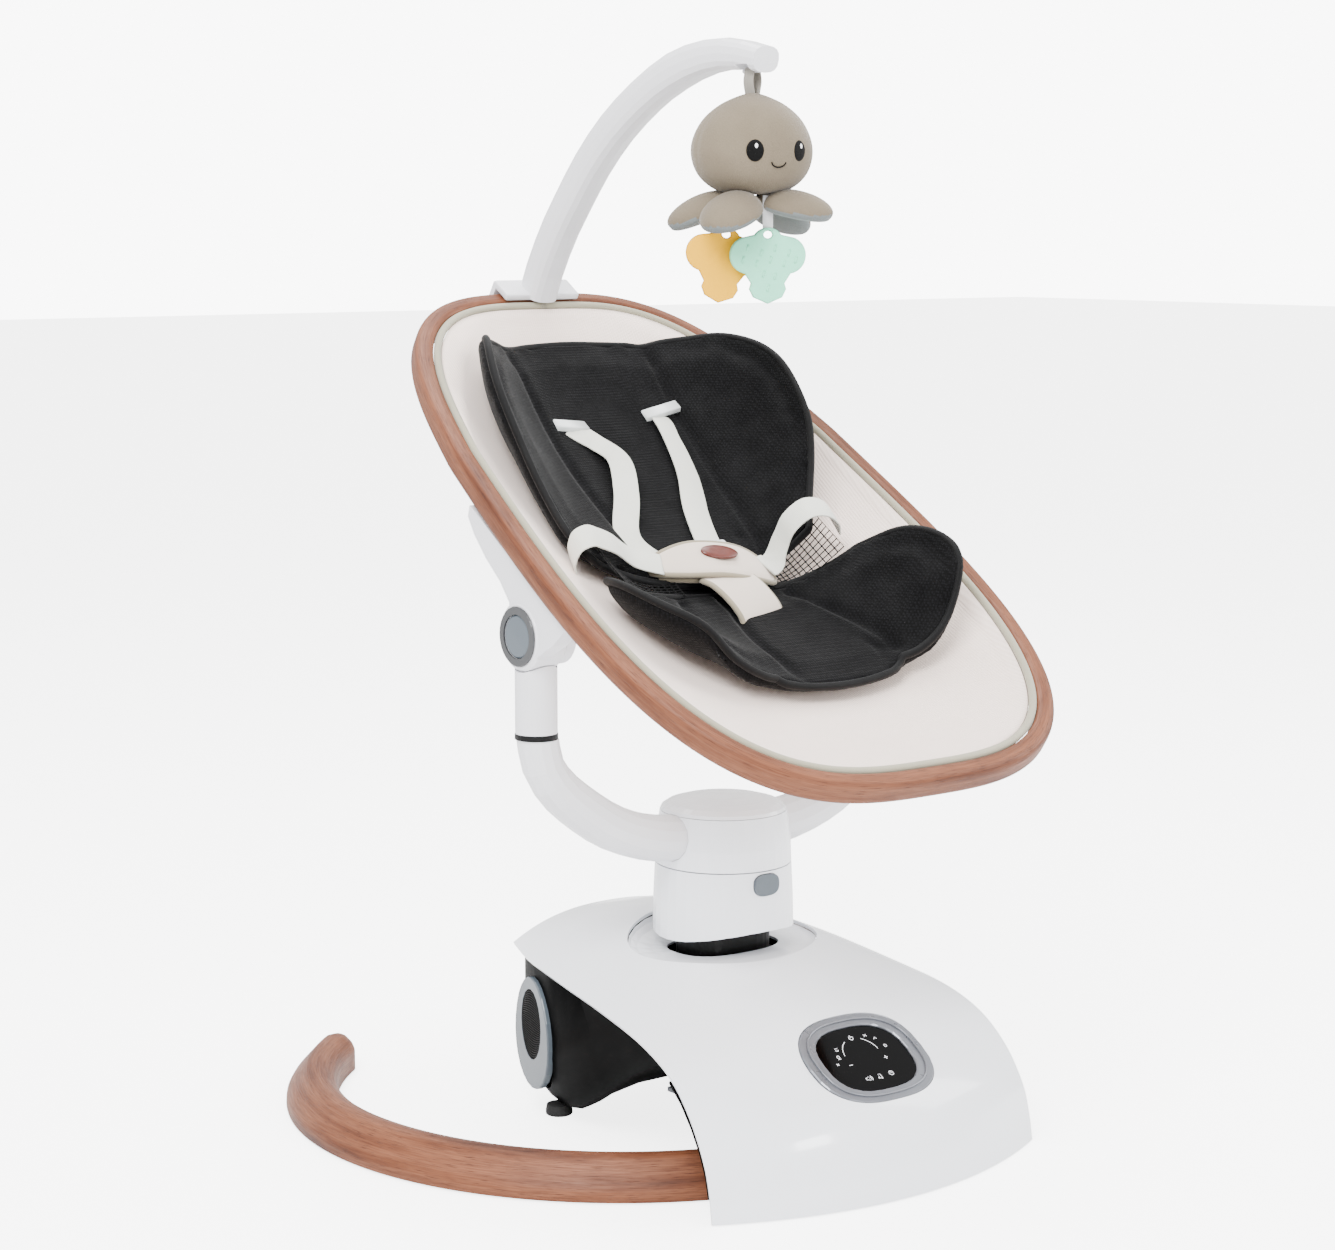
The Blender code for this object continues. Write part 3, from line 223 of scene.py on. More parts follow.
def oval(half_x, half_y, exponent=2.0, count=72):
    angles = np.linspace(0, 2 * pi, count, endpoint=False)
    return [(half_x * power(cos(a), 2 / exponent), half_y * power(sin(a), 2 / exponent)) for a in angles]


def piece_of(name, points, faces, finish, body, slot, stands_for=(), lay=None, smooth=True):
    """A mesh piece in its place, with its finish, riding on its part of the frame."""
    mesh = bpy.data.meshes.new(name)
    mesh.from_pydata([tuple(map(float, p)) for p in points], [], faces)
    for face in mesh.polygons:
        face.use_smooth = smooth
    if lay is not None:
        mesh.attributes.new("lay", "FLOAT_VECTOR", "POINT").data.foreach_set(
            "vector", np.array(lay, np.float32).ravel())
    mesh.materials.append(finish.material)
    made = bpy.data.objects.new(name, mesh)
    bpy.context.scene.collection.objects.link(made)
    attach(made, body)
    if stands_for:
        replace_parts(made, *stands_for)
    return made


def gridded(name, grid, *settings, ring=False, loop=False, caps=False, **more):
    """A piece from rows of points. ring joins each row's ends, loop the first and last rows."""
    grid = np.array(grid, float)
    rows, count = grid.shape[:2]
    faces = []
    for i in range(rows if loop else rows - 1):
        for j in range(count if ring else count - 1):
            a, b = i * count + j, i * count + (j + 1) % count
            faces.append((a, b, (b + count) % (rows * count), (a + count) % (rows * count)))
    if caps:
        faces += [tuple(range(count))[::-1], tuple(range((rows - 1) * count, rows * count))]
    along = np.concatenate([[0], np.cumsum(np.linalg.norm(np.diff(grid, axis=0), axis=2).max(1))])
    across = np.cumsum(np.linalg.norm(np.diff(grid, axis=1, prepend=grid[:, :1]), axis=2), axis=1)
    lay = np.stack([np.broadcast_to(along[:, None], across.shape), across, np.zeros_like(across)], -1)
    made = piece_of(name, grid.reshape(-1, 3), faces, *settings, lay=lay.reshape(-1, 3), **more)
    if ring and (loop or caps):
        outward(made)
    return made


def outward(made):
    """Turns every face of a closed piece to the outside."""
    shape = bmesh.new()
    shape.from_mesh(made.data)
    bmesh.ops.recalc_face_normals(shape, faces=shape.faces)
    shape.to_mesh(made.data)
    shape.free()


def modify(made, kind, **settings):
    """Adds a modifier and bakes it into the mesh."""
    change = made.modifiers.new(kind.lower(), kind)
    for key, value in settings.items():
        setattr(change, key, value)
    bpy.context.view_layer.update()
    baked = bpy.data.meshes.new_from_object(made.evaluated_get(bpy.context.evaluated_depsgraph_get()))
    made.modifiers.clear()
    made.data = baked
    return made


def prism_tool(outline, depth, where):
    """A bare prism to carve with."""
    count = len(outline)
    points = [where @ Vector((x, y, z)) for z in (-depth / 2, depth / 2) for x, y in outline]
    faces = [tuple(range(count))[::-1], tuple(range(count, 2 * count))]
    faces += [(i, (i + 1) % count, count + (i + 1) % count, count + i) for i in range(count)]
    mesh = bpy.data.meshes.new("tool")
    mesh.from_pydata(points, [], faces)
    tool = bpy.data.objects.new("tool", mesh)
    bpy.context.scene.collection.objects.link(tool)
    outward(tool)
    return tool


def carve(made, tool):
    """Cuts the tool's shape out of a piece and throws the tool away."""
    modify(made, "BOOLEAN", object=tool, operation="DIFFERENCE", solver="EXACT")
    bpy.data.objects.remove(tool, do_unlink=True)


def facing(at, normal, up=(0, 0, 1)):
    """A frame whose Z is the normal and whose Y is as near as can be to up."""
    z = Vector(normal).normalized()
    y = (Vector(up) - z * Vector(up).dot(z)).normalized()
    x = y.cross(z)
    return Matrix.Translation(at) @ Matrix((x, y, z)).transposed().to_4x4()


def moulded(name, colour, roughness, grain, depth, **constants):
    """Moulded plastic: a little haze in the gloss and a fine skin texture."""
    finish = Finish(name, **constants)
    at = finish.place()
    haze = finish.noise(at, 9.0, 4.0)
    finish.feed(Base_Color=finish.mix(haze, colour, tuple(c * 0.965 for c in colour[:3]) + (1,)),
                Roughness=finish.level(haze, 0.3, 0.7, roughness * 0.85, roughness * 1.2))
    finish.bump(finish.noise(at, grain, 2.0), depth)
    return finish


def mottled(name, tones, scales, gloss, depth, detail=4.0, stretch=(1, 1, 1), **constants):
    """Two close tones, an uneven gloss and a fine grain, each at its own scale."""
    finish = Finish(name, **constants)
    at = finish.place(stretch)
    tone, haze, grain = finish.noise(at, scales[0]), finish.noise(at, scales[1], detail), finish.noise(at, scales[2])
    finish.feed(Base_Color=finish.mix(tone, *tones), Roughness=finish.level(haze, 0.3, 0.7, *gloss))
    finish.bump(grain, depth)
    return finish


def paint(finish, *nodes):
    """Gives parts of the frame a finish."""
    for node in nodes:
        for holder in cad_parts[node].material_slots:
            holder.material = finish.material


gloss_white = moulded("gloss_white", shade(240, 242, 246), 0.16, 260, 0.00004, Coat_Weight=0.35,
                      Coat_Roughness=0.06)
rows = []
for mid_y, mid_z, edge_x, edge_y, edge_z in through(SHELL, 96):
    row = []
    for u in np.linspace(-1, 1, 73):
        u = power(u, 0.85)
        row.append((u * edge_x, NECK_Y + mid_y + (edge_y - mid_y) * u * u,
                    mid_z + (edge_z - mid_z) * abs(u) ** 2.4))
    rows.append(row)
shell = gridded("shell_cover", rows, gloss_white, "base", "white_plastic", stands_for=["base_shell"])
modify(shell, "SOLIDIFY", thickness=0.003, offset=-1)
outward(shell)
PANEL = facing((0, NECK_Y - 0.1966, 0.1045), (0, -sin(radians(33)), cos(radians(33))), (0, 1, 0))
carve(shell, prism_tool(oval(WELL[0], WELL[1]), 0.12, Matrix.Translation((0, NECK_Y, 0.17))))
carve(shell, prism_tool(oval(BEZEL[0] + 0.0004, BEZEL[1] + 0.0004, 2.6), 0.06, PANEL))
modify(shell, "BEVEL", width=0.0007, segments=2, limit_method="ANGLE", angle_limit=radians(50))


def crisp(made, angle=35):
    """Shades sharp edges sharp and the rest smooth."""
    shape = bmesh.new()
    shape.from_mesh(made.data)
    bmesh.ops.remove_doubles(shape, verts=shape.verts, dist=0.00001)
    for edge in shape.edges:
        edge.smooth = len(edge.link_faces) < 2 or edge.calc_face_angle(0) < radians(angle)
    for face in shape.faces:
        face.smooth = True
    shape.to_mesh(made.data)
    shape.free()
    return made


crisp(shell)
paint(gloss_white, "neck_well")

# ---------------------------------------------------------------- housing under the shell
# Dark textured plastic legs and belly that hold the drive. Each side has a round-ended
# speaker: a blue-grey ring, thicker at the bottom, around a perforated oval.
charcoal = moulded("charcoal_plastic", shade(18, 19, 21), 0.45, 900, 0.00006, Specular_IOR_Level=0.015)
paint(charcoal, "base_housing", "shell_liner")
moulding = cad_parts["base_housing"].data
housing = piece_of("housing_moulding", [v.co for v in moulding.vertices],
                   [tuple(f.vertices) for f in moulding.polygons],
                   charcoal, "base", "charcoal_plastic", stands_for=["base_housing"])
crisp(housing, 52)
blue_grey = moulded("blue_grey_plastic", shade(112, 120, 127), 0.32, 700, 0.00004)
paint(blue_grey, "speaker_left", "speaker_right")
black_plastic = moulded("black_plastic", shade(22, 22, 24), 0.4, 800, 0.00005, Specular_IOR_Level=0.2)
paint(black_plastic, "power_socket")
rubber = moulded("foot_rubber", shade(34, 34, 35), 0.7, 1100, 0.0001)
paint(rubber, "rear_foot_left", "rear_foot_right")


def sampled(spots, cells):
    """Rows of points from a function of two numbers from 0 to 1."""
    return [[spots(i / cells[0], j / cells[1]) for j in range(cells[1] + 1)] for i in range(cells[0] + 1)]


def net(name, rows, strand, *settings):
    """An open net over rows of points: strands around real holes."""
    made = gridded(name, rows, *settings)
    modify(made, "WIREFRAME", thickness=strand, use_replace=True, use_even_offset=False)
    return made


for side, sign in (("left", -1), ("right", 1)):
    ear = facing((sign * 0.1232, NECK_Y + 0.1224, 0.076), (sign * cos(radians(15)), sin(radians(15)), 0))

    def grille_spot(i, j):
        x, y = 2 * i - 1, 2 * j - 1
        return ear @ Vector((0.0255 * x * (1 - y * y / 2) ** 0.5, 0.008 + 0.0325 * y * (1 - x * x / 2) ** 0.5, 0.0026))

    net("speaker_grille_" + side, sampled(grille_spot, (22, 28)), 0.0011, black_plastic, "base", "black_plastic")

# ---------------------------------------------------------------- floor hoop
# Two bent wooden bows under the base, lacquered walnut, with a broad face that slopes
# outwards. They are screwed to a steel plate under the shell and stand on rubber pads.
HOOP_Y = NECK_Y + 0.1237
HOOP_X_HALF, HOOP_Y_HALF = 0.337, 0.323
HOOP_SECTION = [(-0.024, 0.0), (-0.024, 0.02), (-0.0205, 0.027), (-0.012, 0.034), (-0.004, 0.0355),
                (0.004, 0.0335), (0.0195, 0.0165), (0.0235, 0.0095), (0.024, 0.0)]


def walnut(name):
    """Lacquered walnut whose grain follows the bend of the wood."""
    finish = Finish(name, Specular_IOR_Level=0.22)
    figure = finish.noise(finish.place((5, 70, 70), lay=True), 1.0, 5.0, 0.6)
    fibre = finish.noise(finish.place((28, 900, 900), lay=True), 1.0, 3.0, 0.6)
    pores = finish.level(finish.noise(finish.place((60, 1400, 1400), lay=True), 1.0, 1.0), 0.6, 0.72)
    colour = finish.ramp(figure, (0.28, shade(94, 62, 46)), (0.44, shade(136, 96, 74)),
                         (0.58, shade(154, 113, 90)), (0.76, shade(110, 74, 56)))
    colour = finish.mix(finish.level(fibre, 0.35, 0.75), colour, finish.mix(0.5, colour, shade(96, 56, 38)))
    finish.feed(Base_Color=finish.mix(pores * 0.7, colour, shade(78, 46, 32)),
                Roughness=finish.level(fibre, 0.3, 0.7, 0.42, 0.56))
    finish.bump(fibre - pores, 0.00012)
    return finish


def eased(section, amount):
    """A closed section whose corners are rounded a little."""
    points, count = np.array(section, float), len(section)
    soft = []
    for i, corner in enumerate(points):
        before, after = points[i - 1] - corner, points[(i + 1) % count] - corner
        start = corner + before * min(amount / np.linalg.norm(before), 0.4)
        stop = corner + after * min(amount / np.linalg.norm(after), 0.4)
        soft += [start, (start + stop + 2 * corner) / 4, stop]
    return soft


walnut_hoop = walnut("walnut_hoop")
bow_section = eased(HOOP_SECTION, 0.0022)
for side, sign in (("left", -1), ("right", 1)):
    rings = []
    for angle in [radians(-53), radians(-51.3)] + list(np.linspace(radians(-49.5), pi / 2 - 0.0015, 90)):
        shrink = 0.62 if angle < radians(-52) else 0.86 if angle < radians(-50.5) else 1
        radial = Vector((cos(angle) / HOOP_X_HALF, -sin(angle) / HOOP_Y_HALF, 0)).normalized()
        centre = Vector((HOOP_X_HALF * cos(angle), HOOP_Y - HOOP_Y_HALF * sin(angle), 0.0012)) - radial * 0.024
        ring = [centre + radial * out * shrink + Vector((0, 0, up * (0.6 + 0.4 * shrink))) for out, up in bow_section]
        rings.append([(sign * p.x, p.y, p.z) for p in ring])
    crisp(gridded("hoop_bow_" + side, rings, walnut_hoop, "base", "wood", ring=True, caps=True,
                  stands_for=["hoop_" + side]), 30)


def lathe(name, profile, where, *settings, steps=48, **more):
    """A turned piece: (radius, height) around the frame's Z axis."""
    rows = [[where @ Vector((r * cos(a), r * sin(a), z)) for a in np.linspace(0, 2 * pi, steps, endpoint=False)]
            for r, z in profile]
    return gridded(name, rows, *settings, ring=True, caps=True, **more)


for number, angle in enumerate((radians(-40), radians(8), radians(172), radians(220))):
    spot = (0.313 * cos(angle), HOOP_Y - 0.299 * sin(angle), 0)
    lathe(f"hoop_pad_{number + 1}", [(0.006, 0.0), (0.0072, 0.0004), (0.0072, 0.0012)], Matrix.Translation(spot),
          rubber, "base", "rubber", steps=24)

# ---------------------------------------------------------------- control panel
# A silver bezel in two steps around a black touch glass. Its signs are printed in white
# under the glass: power, an arc for speed, less, more, sound, tune, timer and motions.
silver = mottled("silver_trim", (shade(138, 140, 146), shade(158, 160, 165)), (14, 60, 500), (0.26, 0.36),
                 0.00002, 3.0, Metallic=0.6)
paint(silver, "control_bezel")
black_glass = mottled("black_glass", (shade(14, 14, 16), shade(20, 20, 23)), (8, 40, 90), (0.05, 0.14),
                      0.00001, Coat_Weight=0.06, Coat_Roughness=0.03, Specular_IOR_Level=0.08)
paint(black_glass, "control_glass")


def swept(path, section, across, closed=False):
    """A section, in its own (side, up), carried along a path; across gives its side."""
    path = np.array(path, float)
    ahead = np.roll(path, -1, 0) - np.roll(path, 1, 0)
    if not closed:
        ahead[0], ahead[-1] = path[1] - path[0], path[-1] - path[-2]
    ahead /= np.linalg.norm(ahead, axis=1)[:, None]
    across = np.broadcast_to(np.array(across, float), path.shape)
    side = across - ahead * (across * ahead).sum(1)[:, None]
    side /= np.linalg.norm(side, axis=1)[:, None]
    up, section = np.cross(ahead, side), np.array(section, float)
    return path[:, None] + side[:, None] * section[None, :, :1] + up[:, None] * section[None, :, 1:]


silver_step = [PANEL @ Vector((x, y, 0.0032)) for x, y in oval(0.0548, 0.042, 2.65, 96)]
gridded("bezel_step", swept(silver_step, oval(0.0011, 0.0008, 2, 8), PANEL.to_3x3() @ Vector((0, 0, 1)), True),
        silver, "base", "silver_trim", ring=True, loop=True)
# The printed signs also get a faint white emission, a painted glow: the print itself gives no light.
white_print_painted_glow = Finish("white_print_painted_glow", Emission_Strength=0.25)
white_print_painted_glow.feed(Base_Color=white_print_painted_glow.mix(white_print_painted_glow.noise(white_print_painted_glow.place(), 900), shade(214, 216, 220),
                                            shade(246, 246, 248)), Roughness=0.5,
                 Emission_Color=shade(235, 235, 240))
white_print_painted_glow.bump(white_print_painted_glow.noise(white_print_painted_glow.place(), 700), 0.00001)


def arc(x, y, radius, start, stop):
    """Part of a circle, from one angle to another in degrees."""
    return [(x + radius * cos(radians(a)), y + radius * sin(radians(a))) for a in np.linspace(start, stop, 20)]


SIGNS = {
    "power": [arc(0.0, 0.024, 0.0021, 120, 420), [(0, 0.024), (0, 0.027)]],
    "speed": [arc(0, 0.0045, 0.019, 62, 8), arc(0, 0.0045, 0.019, 118, 172)],
    "less": [[(-0.0215, -0.0035), (-0.018, -0.0035)]],
    "more": [[(0.018, -0.0035), (0.022, -0.0035)], [(0.02, -0.0055), (0.02, -0.0015)]],
    "sound": [[(-0.015, -0.02), (-0.0135, -0.02), (-0.0115, -0.0185), (-0.0115, -0.0235), (-0.0135, -0.022),
               (-0.015, -0.022), (-0.015, -0.02)], arc(-0.0115, -0.021, 0.0018, -50, 50),
              arc(-0.0115, -0.021, 0.0032, -50, 50)],
    "tune": [[(-0.0008, -0.0225), (-0.0008, -0.0185), (0.0018, -0.0192), (0.0018, -0.0232)],
             arc(-0.0014, -0.0226, 0.0006, 0, 360), arc(0.0012, -0.0233, 0.0006, 0, 360)],
    "timer": [arc(0.0135, -0.0205, 0.0022, 0, 360), [(0.0135, -0.019), (0.0135, -0.0205), (0.0146, -0.0205)]],
    "motion_1": [arc(-0.026, 0.0075, 0.0014, 0, 360), [(-0.0275, 0.005), (-0.0245, 0.005)]],
    "motion_2": [arc(-0.0225, 0.015, 0.0014, 180, 360), [(-0.024, 0.0165), (-0.021, 0.0165)]],
    "motion_3": [[(-0.033, -0.001), (-0.0305, 0.001)], [(-0.033, 0.001), (-0.0305, -0.001)]],
    "motion_4": [[(0.014, 0.0225), (0.017, 0.0245)], [(0.014, 0.0245), (0.017, 0.0225)]],
    "motion_5": [[(0.0215, 0.0175), (0.0235, 0.0195), (0.025, 0.0175)]],
    "motion_6": [arc(0.028, 0.0085, 0.0013, 0, 360)],
}
glass_top = 0.0005
for sign_name, strokes in SIGNS.items():
    points, faces = [], []
    for stroke in strokes:
        path = [PANEL @ Vector((x, y, glass_top + 0.0001)) for x, y in stroke]
        rings = swept(path, oval(0.00035, 0.00012, 2, 6), PANEL.to_3x3() @ Vector((0.3, 1, 0)))
        base = len(points)
        points += [p for ring in rings for p in ring]
        for i in range(len(rings) - 1):
            for j in range(6):
                a, b = base + i * 6 + j, base + i * 6 + (j + 1) % 6
                faces.append((a, b, b + 6, a + 6))
    piece_of("sign_" + sign_name, points, faces, white_print_painted_glow, "base", "silver_trim")

# ---------------------------------------------------------------- drive and chassis
# Steel parts inside the base: a plate, two bearing blocks, the axle, the motor and its
# two gears. They show only from below and through the well.
steel = mottled("machined_steel", (shade(150, 152, 156), shade(178, 180, 184)), (30, 90, 400), (0.28, 0.45),
                0.00002, stretch=(1, 1, 40), Metallic=1.0)
paint(steel, "chassis_plate", "bearing_front", "bearing_rear", "swing_motor", "swing_axle", "neck_post",
      "drive_sector", "drive_pinion", "turn_bearing", "hinge_pin_left", "hinge_pin_right")
green_board = moulded("circuit_board", shade(20, 74, 42), 0.4, 500, 0.0001)
paint(green_board, "control_board")
for number, (x, y) in enumerate(((-0.075, -0.19), (0.075, -0.19), (-0.035, -0.1915), (0.035, -0.1915))):
    seat_of_screw = Matrix.Translation((x, NECK_Y + y, 0.0414))
    lathe(f"chassis_screw_{number + 1}", [(0.0008, 0.003), (0.004, 0.0026), (0.0052, 0.0012), (0.0052, 0.0002)],
          seat_of_screw, steel, "base", "steel", steps=24)

# ---------------------------------------------------------------- rocking neck
# A white drum over the well. It rocks with the seat, so a ribbed black shutter closes the
# slot under it, and an oval blue-grey button on its front lets the seat turn.
paint(gloss_white, "neck_housing", "neck_collar", "neck_cap")
paint(black_plastic, "slot_shutter")
paint(blue_grey, "release_button")

# ---------------------------------------------------------------- turning fork
# Two bent tubes rise from the neck's collar to the seat's hinges. Each upright plugs onto
# its arm, with a black ring in the joint, and ends beside a round hinge boss.
tube_white = moulded("satin_tube", shade(228, 228, 231), 0.3, 500, 0.00003)
paint(tube_white, "arm_left", "arm_right", "upright_left", "upright_right", "bracket_left", "bracket_right")
paint(black_plastic, "joint_ring_left", "joint_ring_right")
ring_grey = moulded("hinge_grey", shade(92, 93, 95), 0.35, 700, 0.00004)
paint(ring_grey, "hinge_ring_left", "hinge_ring_right")
paint(blue_grey, "recline_button_left", "recline_button_right")

# ---------------------------------------------------------------- seat rim
# A wooden oval, wider towards the foot end, with eased edges. Its inner edge holds a
# rounded woven piping where the sling is clamped.
SEAT = Matrix.Translation((0, NECK_Y + 0.1007, 0.6162)) @ Matrix.Rotation(radians(32.7), 4, "X")
RIM_HEAD, RIM_FOOT, RIM_HALF, RIM_TAPER = 0.2185, 0.448, 0.2002, 0.2013
RIM_STEPS = 260


def rim_rise(s):
    """How far the rim curves up at a place along the seat."""
    return 0.0485 * s ** 2 + 0.1412 * s ** 3


def rim_point(angle):
    """The rim's inner top edge in the seat's frame."""
    length, exponent = (RIM_HEAD, 3.45) if cos(angle) > 0 else (RIM_FOOT, 3.1)
    s = length * power(cos(angle), 2 / exponent)
    x = RIM_HALF * (1 - RIM_TAPER * s / (RIM_FOOT if s < 0 else RIM_HEAD))
    return np.array((x * power(sin(angle), 2 / exponent), s, rim_rise(s)))


fine = np.array([rim_point(2 * pi * (i + 0.3) / 4000) for i in range(4000)])
run = np.concatenate([[0], np.cumsum(np.linalg.norm(np.roll(fine, -1, 0) - fine, axis=1))])
spots = np.interp((np.arange(RIM_STEPS) + 0.5) * run[-1] / RIM_STEPS, run, np.arange(4001))
rim_line = fine[spots.astype(int) % 4000]
ahead = np.roll(rim_line, -1, 0) - np.roll(rim_line, 1, 0)
rim_out = np.column_stack([ahead[:, 1], -ahead[:, 0], np.zeros(RIM_STEPS)])
rim_out /= np.linalg.norm(rim_out, axis=1)[:, None]
rim_out *= np.sign((rim_out * (rim_line + (0, 0.1, 0))).sum(1))[:, None]


def seated(grid):
    """Points of the seat's own frame, placed in the swing."""
    grid = np.array(grid, float)
    flat = grid.reshape(-1, 3) @ np.array(SEAT.to_3x3()).T + np.array(SEAT.translation)
    return flat.reshape(grid.shape)


def around_rim(section):
    """Rings of a section, in its own (outwards, up), carried around the rim."""
    section = np.array(section, float)
    up = np.array((0, 0, 1.0))
    return seated(rim_line[:, None] + rim_out[:, None] * section[None, :, :1] + up * section[None, :, 1:])


walnut_rim = walnut("walnut_rim")
rim_section = [(0.0, -0.001), (0.004, 0.0012), (0.012, 0.0012), (0.0158, -0.0012), (0.017, -0.005),
               (0.017, -0.017), (0.0148, -0.0208), (0.011, -0.022), (0.003, -0.022), (0.0, -0.0195)]
crisp(gridded("seat_rim_wood", around_rim(eased(rim_section, 0.0016)), walnut_rim, "seat", "wood", ring=True, loop=True,
              stands_for=["seat_rim"]), 40)


def woven(name, light, dark, ribs, depth, lay=True, sheen=0.3, rough=0.85):
    """Woven cloth: ribs across the lay, crossed by finer threads, in two close tones."""
    finish = Finish(name, Sheen_Weight=sheen, Sheen_Roughness=0.5, Specular_IOR_Level=0.12)
    threads = finish.node("TexWave", {"wave_type": "BANDS", "bands_direction": "X"},
                          {"Vector": finish.place(lay=lay), "Scale": ribs, "Distortion": 0.4, "Detail": 1.0})
    cross = finish.node("TexWave", {"wave_type": "BANDS", "bands_direction": "Y"},
                        {"Vector": finish.place(lay=lay), "Scale": ribs * 1.4, "Distortion": 0.3})
    blotch = finish.noise(finish.place(lay=lay), 45, 4.0)
    weave = threads * 0.7 + cross * 0.3
    finish.feed(Base_Color=finish.mix(weave * 0.65 + blotch * 0.35, dark, light),
                Roughness=finish.level(blotch, 0.3, 0.7, rough - 0.06, rough + 0.08))
    finish.bump(weave, depth)
    return finish


piping_cloth = woven("piping_cloth", shade(186, 182, 166), shade(166, 162, 146), 300, 0.0002)
piping_section = [(-0.004 + 0.0036 * cos(a), -0.0022 + 0.0034 * sin(a)) for a in np.linspace(0, 2 * pi, 14)[:-1]]
gridded("rim_piping", around_rim(piping_section), piping_cloth, "seat", "piping_cloth", ring=True, loop=True,
        stands_for=["seat_piping"])

# ---------------------------------------------------------------- sling
# One piece of cream ribbed knit, stretched in the rim as a shallow bowl. It gathers in
# soft creases where it runs up to the piping.
SLING_MIDDLE, SLING_DEEP = -0.12, 0.07


def sling_height(x, s):
    """The sling's height in the seat's frame: a bowl that meets the rim."""
    length = RIM_HEAD - SLING_MIDDLE if s > SLING_MIDDLE else RIM_FOOT + SLING_MIDDLE
    half = RIM_HALF * (1 - RIM_TAPER * s / (RIM_HEAD if s > 0 else RIM_FOOT))
    reach = min(1.0, (abs((s - SLING_MIDDLE) / length) ** 2.6 + abs(x / half) ** 2.6) ** (1 / 2.6))
    return rim_rise(s) - 0.004 - SLING_DEEP * (1 - reach ** 2.3)


chance = np.random.default_rng(7)
gather = np.convolve(np.tile(chance.normal(0, 1, RIM_STEPS), 3), np.ones(3) / 3, "same")[RIM_STEPS:2 * RIM_STEPS]
centre = np.array((0, SLING_MIDDLE))
rows = []
for reach in np.linspace(1.0, 0.03, 44):
    row = []
    for point, out, tuck in zip(rim_line, rim_out, gather):
        edge = (point - out * 0.0078)[:2]
        x, s = centre + (edge - centre) * reach
        crease = 0.0011 * tuck * max(0.0, 1 - (1 - reach) / 0.35) * min(1.0, (1 - reach) / 0.04)
        h = sling_height(x, s) if reach < 0.995 else point[2] - 0.004
        row.append((x, s, h + crease))
    rows.append(row)
rib_cloth = woven("ribbed_cream", shade(246, 234, 227), shade(233, 219, 210), 130, 0.0004, lay=False, sheen=0.2)
sling = gridded("sling_cloth", seated(rows), rib_cloth, "seat", "cream_cloth", ring=True, stands_for=["seat_sling"])
modify(sling, "SOLIDIFY", thickness=0.0026, offset=0)

# ---------------------------------------------------------------- padded insert
# A black spacer-knit cushion in two parts, a back and a seat, with sewn panels and a
# smooth bound edge. Its sides stand up as soft wings.
PAD, CLEAR = 0.018, 0.0045          # the insert's thickness and its gap to the sling
COLUMNS = 61
SEAM_REACH, SEAM_DEPTH = 0.0055, 0.005
AIR_FRAMES = 20
BACK = through([(0.148, 0.085, 0.0, 0.003, 0.006), (0.134, 0.112, 0.0, 0.017, 0.022),
                (0.105, 0.134, 0.0, 0.04, 0.043), (0.05, 0.149, -0.002, 0.056, 0.034),
                (-0.02, 0.145, -0.005, 0.045, 0.006), (-0.06, 0.138, -0.01, 0.026, -0.008),
                (-0.1, 0.128, -0.017, -0.002, -0.018), (-0.124, 0.118, -0.019, -0.012, -0.022)], 48)
FRONT = through([(-0.16, 0.136, -0.008, -0.006, -0.018), (-0.185, 0.1465, 0.0, 0.03, -0.004),
                 (-0.222, 0.146, 0.012, 0.048, 0.004), (-0.255, 0.131, 0.023, 0.044, 0.004),
                 (-0.282, 0.111, 0.027, 0.008, -0.014), (-0.298, 0.072, 0.025, -0.024, -0.028)], 40)


def insert_top(x, s):
    """The insert's upper face, which lies on the sling and rises into the wings."""
    table = (BACK if s > -0.15 else FRONT)[::-1]
    half, middle, right, left = (np.interp(s, table[:, 0], table[:, i]) for i in (1, 2, 3, 4))
    low = sling_height(0, s) + PAD + CLEAR
    wing = right if x > middle else left
    return max(sling_height(x, s) + PAD + CLEAR, low + (wing - low) * min(1, abs((x - middle) / half)) ** 3.2)


knit = Finish("black_knit", Sheen_Weight=0.05, Sheen_Roughness=0.4, Specular_IOR_Level=0.1)
at = knit.place()
cells = knit.node("TexVoronoi", {"feature": "F1"}, {"Vector": at, "Scale": 420.0, "Randomness": 0.35})
blotch = knit.noise(at, 40, 3.0)
knit.feed(Base_Color=knit.mix(knit.level(cells, 0.1, 0.6), shade(46, 46, 49), shade(14, 14, 16)),
          Roughness=knit.level(blotch, 0.3, 0.7, 0.72, 0.88))
knit.bump(1 - cells, 0.0006)
bound_black = woven("bound_edge", shade(38, 38, 40), shade(18, 18, 20), 420, 0.0001, lay=False, sheen=0.04, rough=0.6)


def blown(made, cap, held):
    """Fills a closed cover with a little air, as stuffing does, and keeps the folds it makes.
    Its sewn edge, the held line, stays where it is."""
    modify(made, "REMESH", mode="VOXEL", voxel_size=0.005, use_smooth_shade=True)
    rest = np.array([v.co for v in made.data.vertices])
    cloth = made.modifiers.new("cloth", "CLOTH")
    cloth.settings.use_pressure = True
    cloth.settings.uniform_pressure_force = 4
    cloth.settings.effector_weights.gravity = 0
    cloth.settings.quality = 4
    cloth.point_cache.frame_start = 1
    cloth.point_cache.frame_end = AIR_FRAMES
    for number in range(1, AIR_FRAMES + 1):
        bpy.context.scene.frame_set(number)
    shaped = made.evaluated_get(bpy.context.evaluated_depsgraph_get()).data
    moved = np.array([v.co for v in shaped.vertices]) - rest
    far = np.linalg.norm(moved, axis=1)[:, None]
    free = np.sqrt(((rest[:, None] - held[None]) ** 2).sum(2).min(1))[:, None]
    moved *= np.minimum(1, cap / np.maximum(far, 1e-9)) * np.clip((free - 0.007) / 0.022, 0, 1)
    made.modifiers.clear()
    made.data.vertices.foreach_set("co", (rest + moved).astype(np.float32).ravel())
    bpy.context.scene.frame_set(1)
    return modify(made, "SUBSURF", levels=1, render_levels=1)


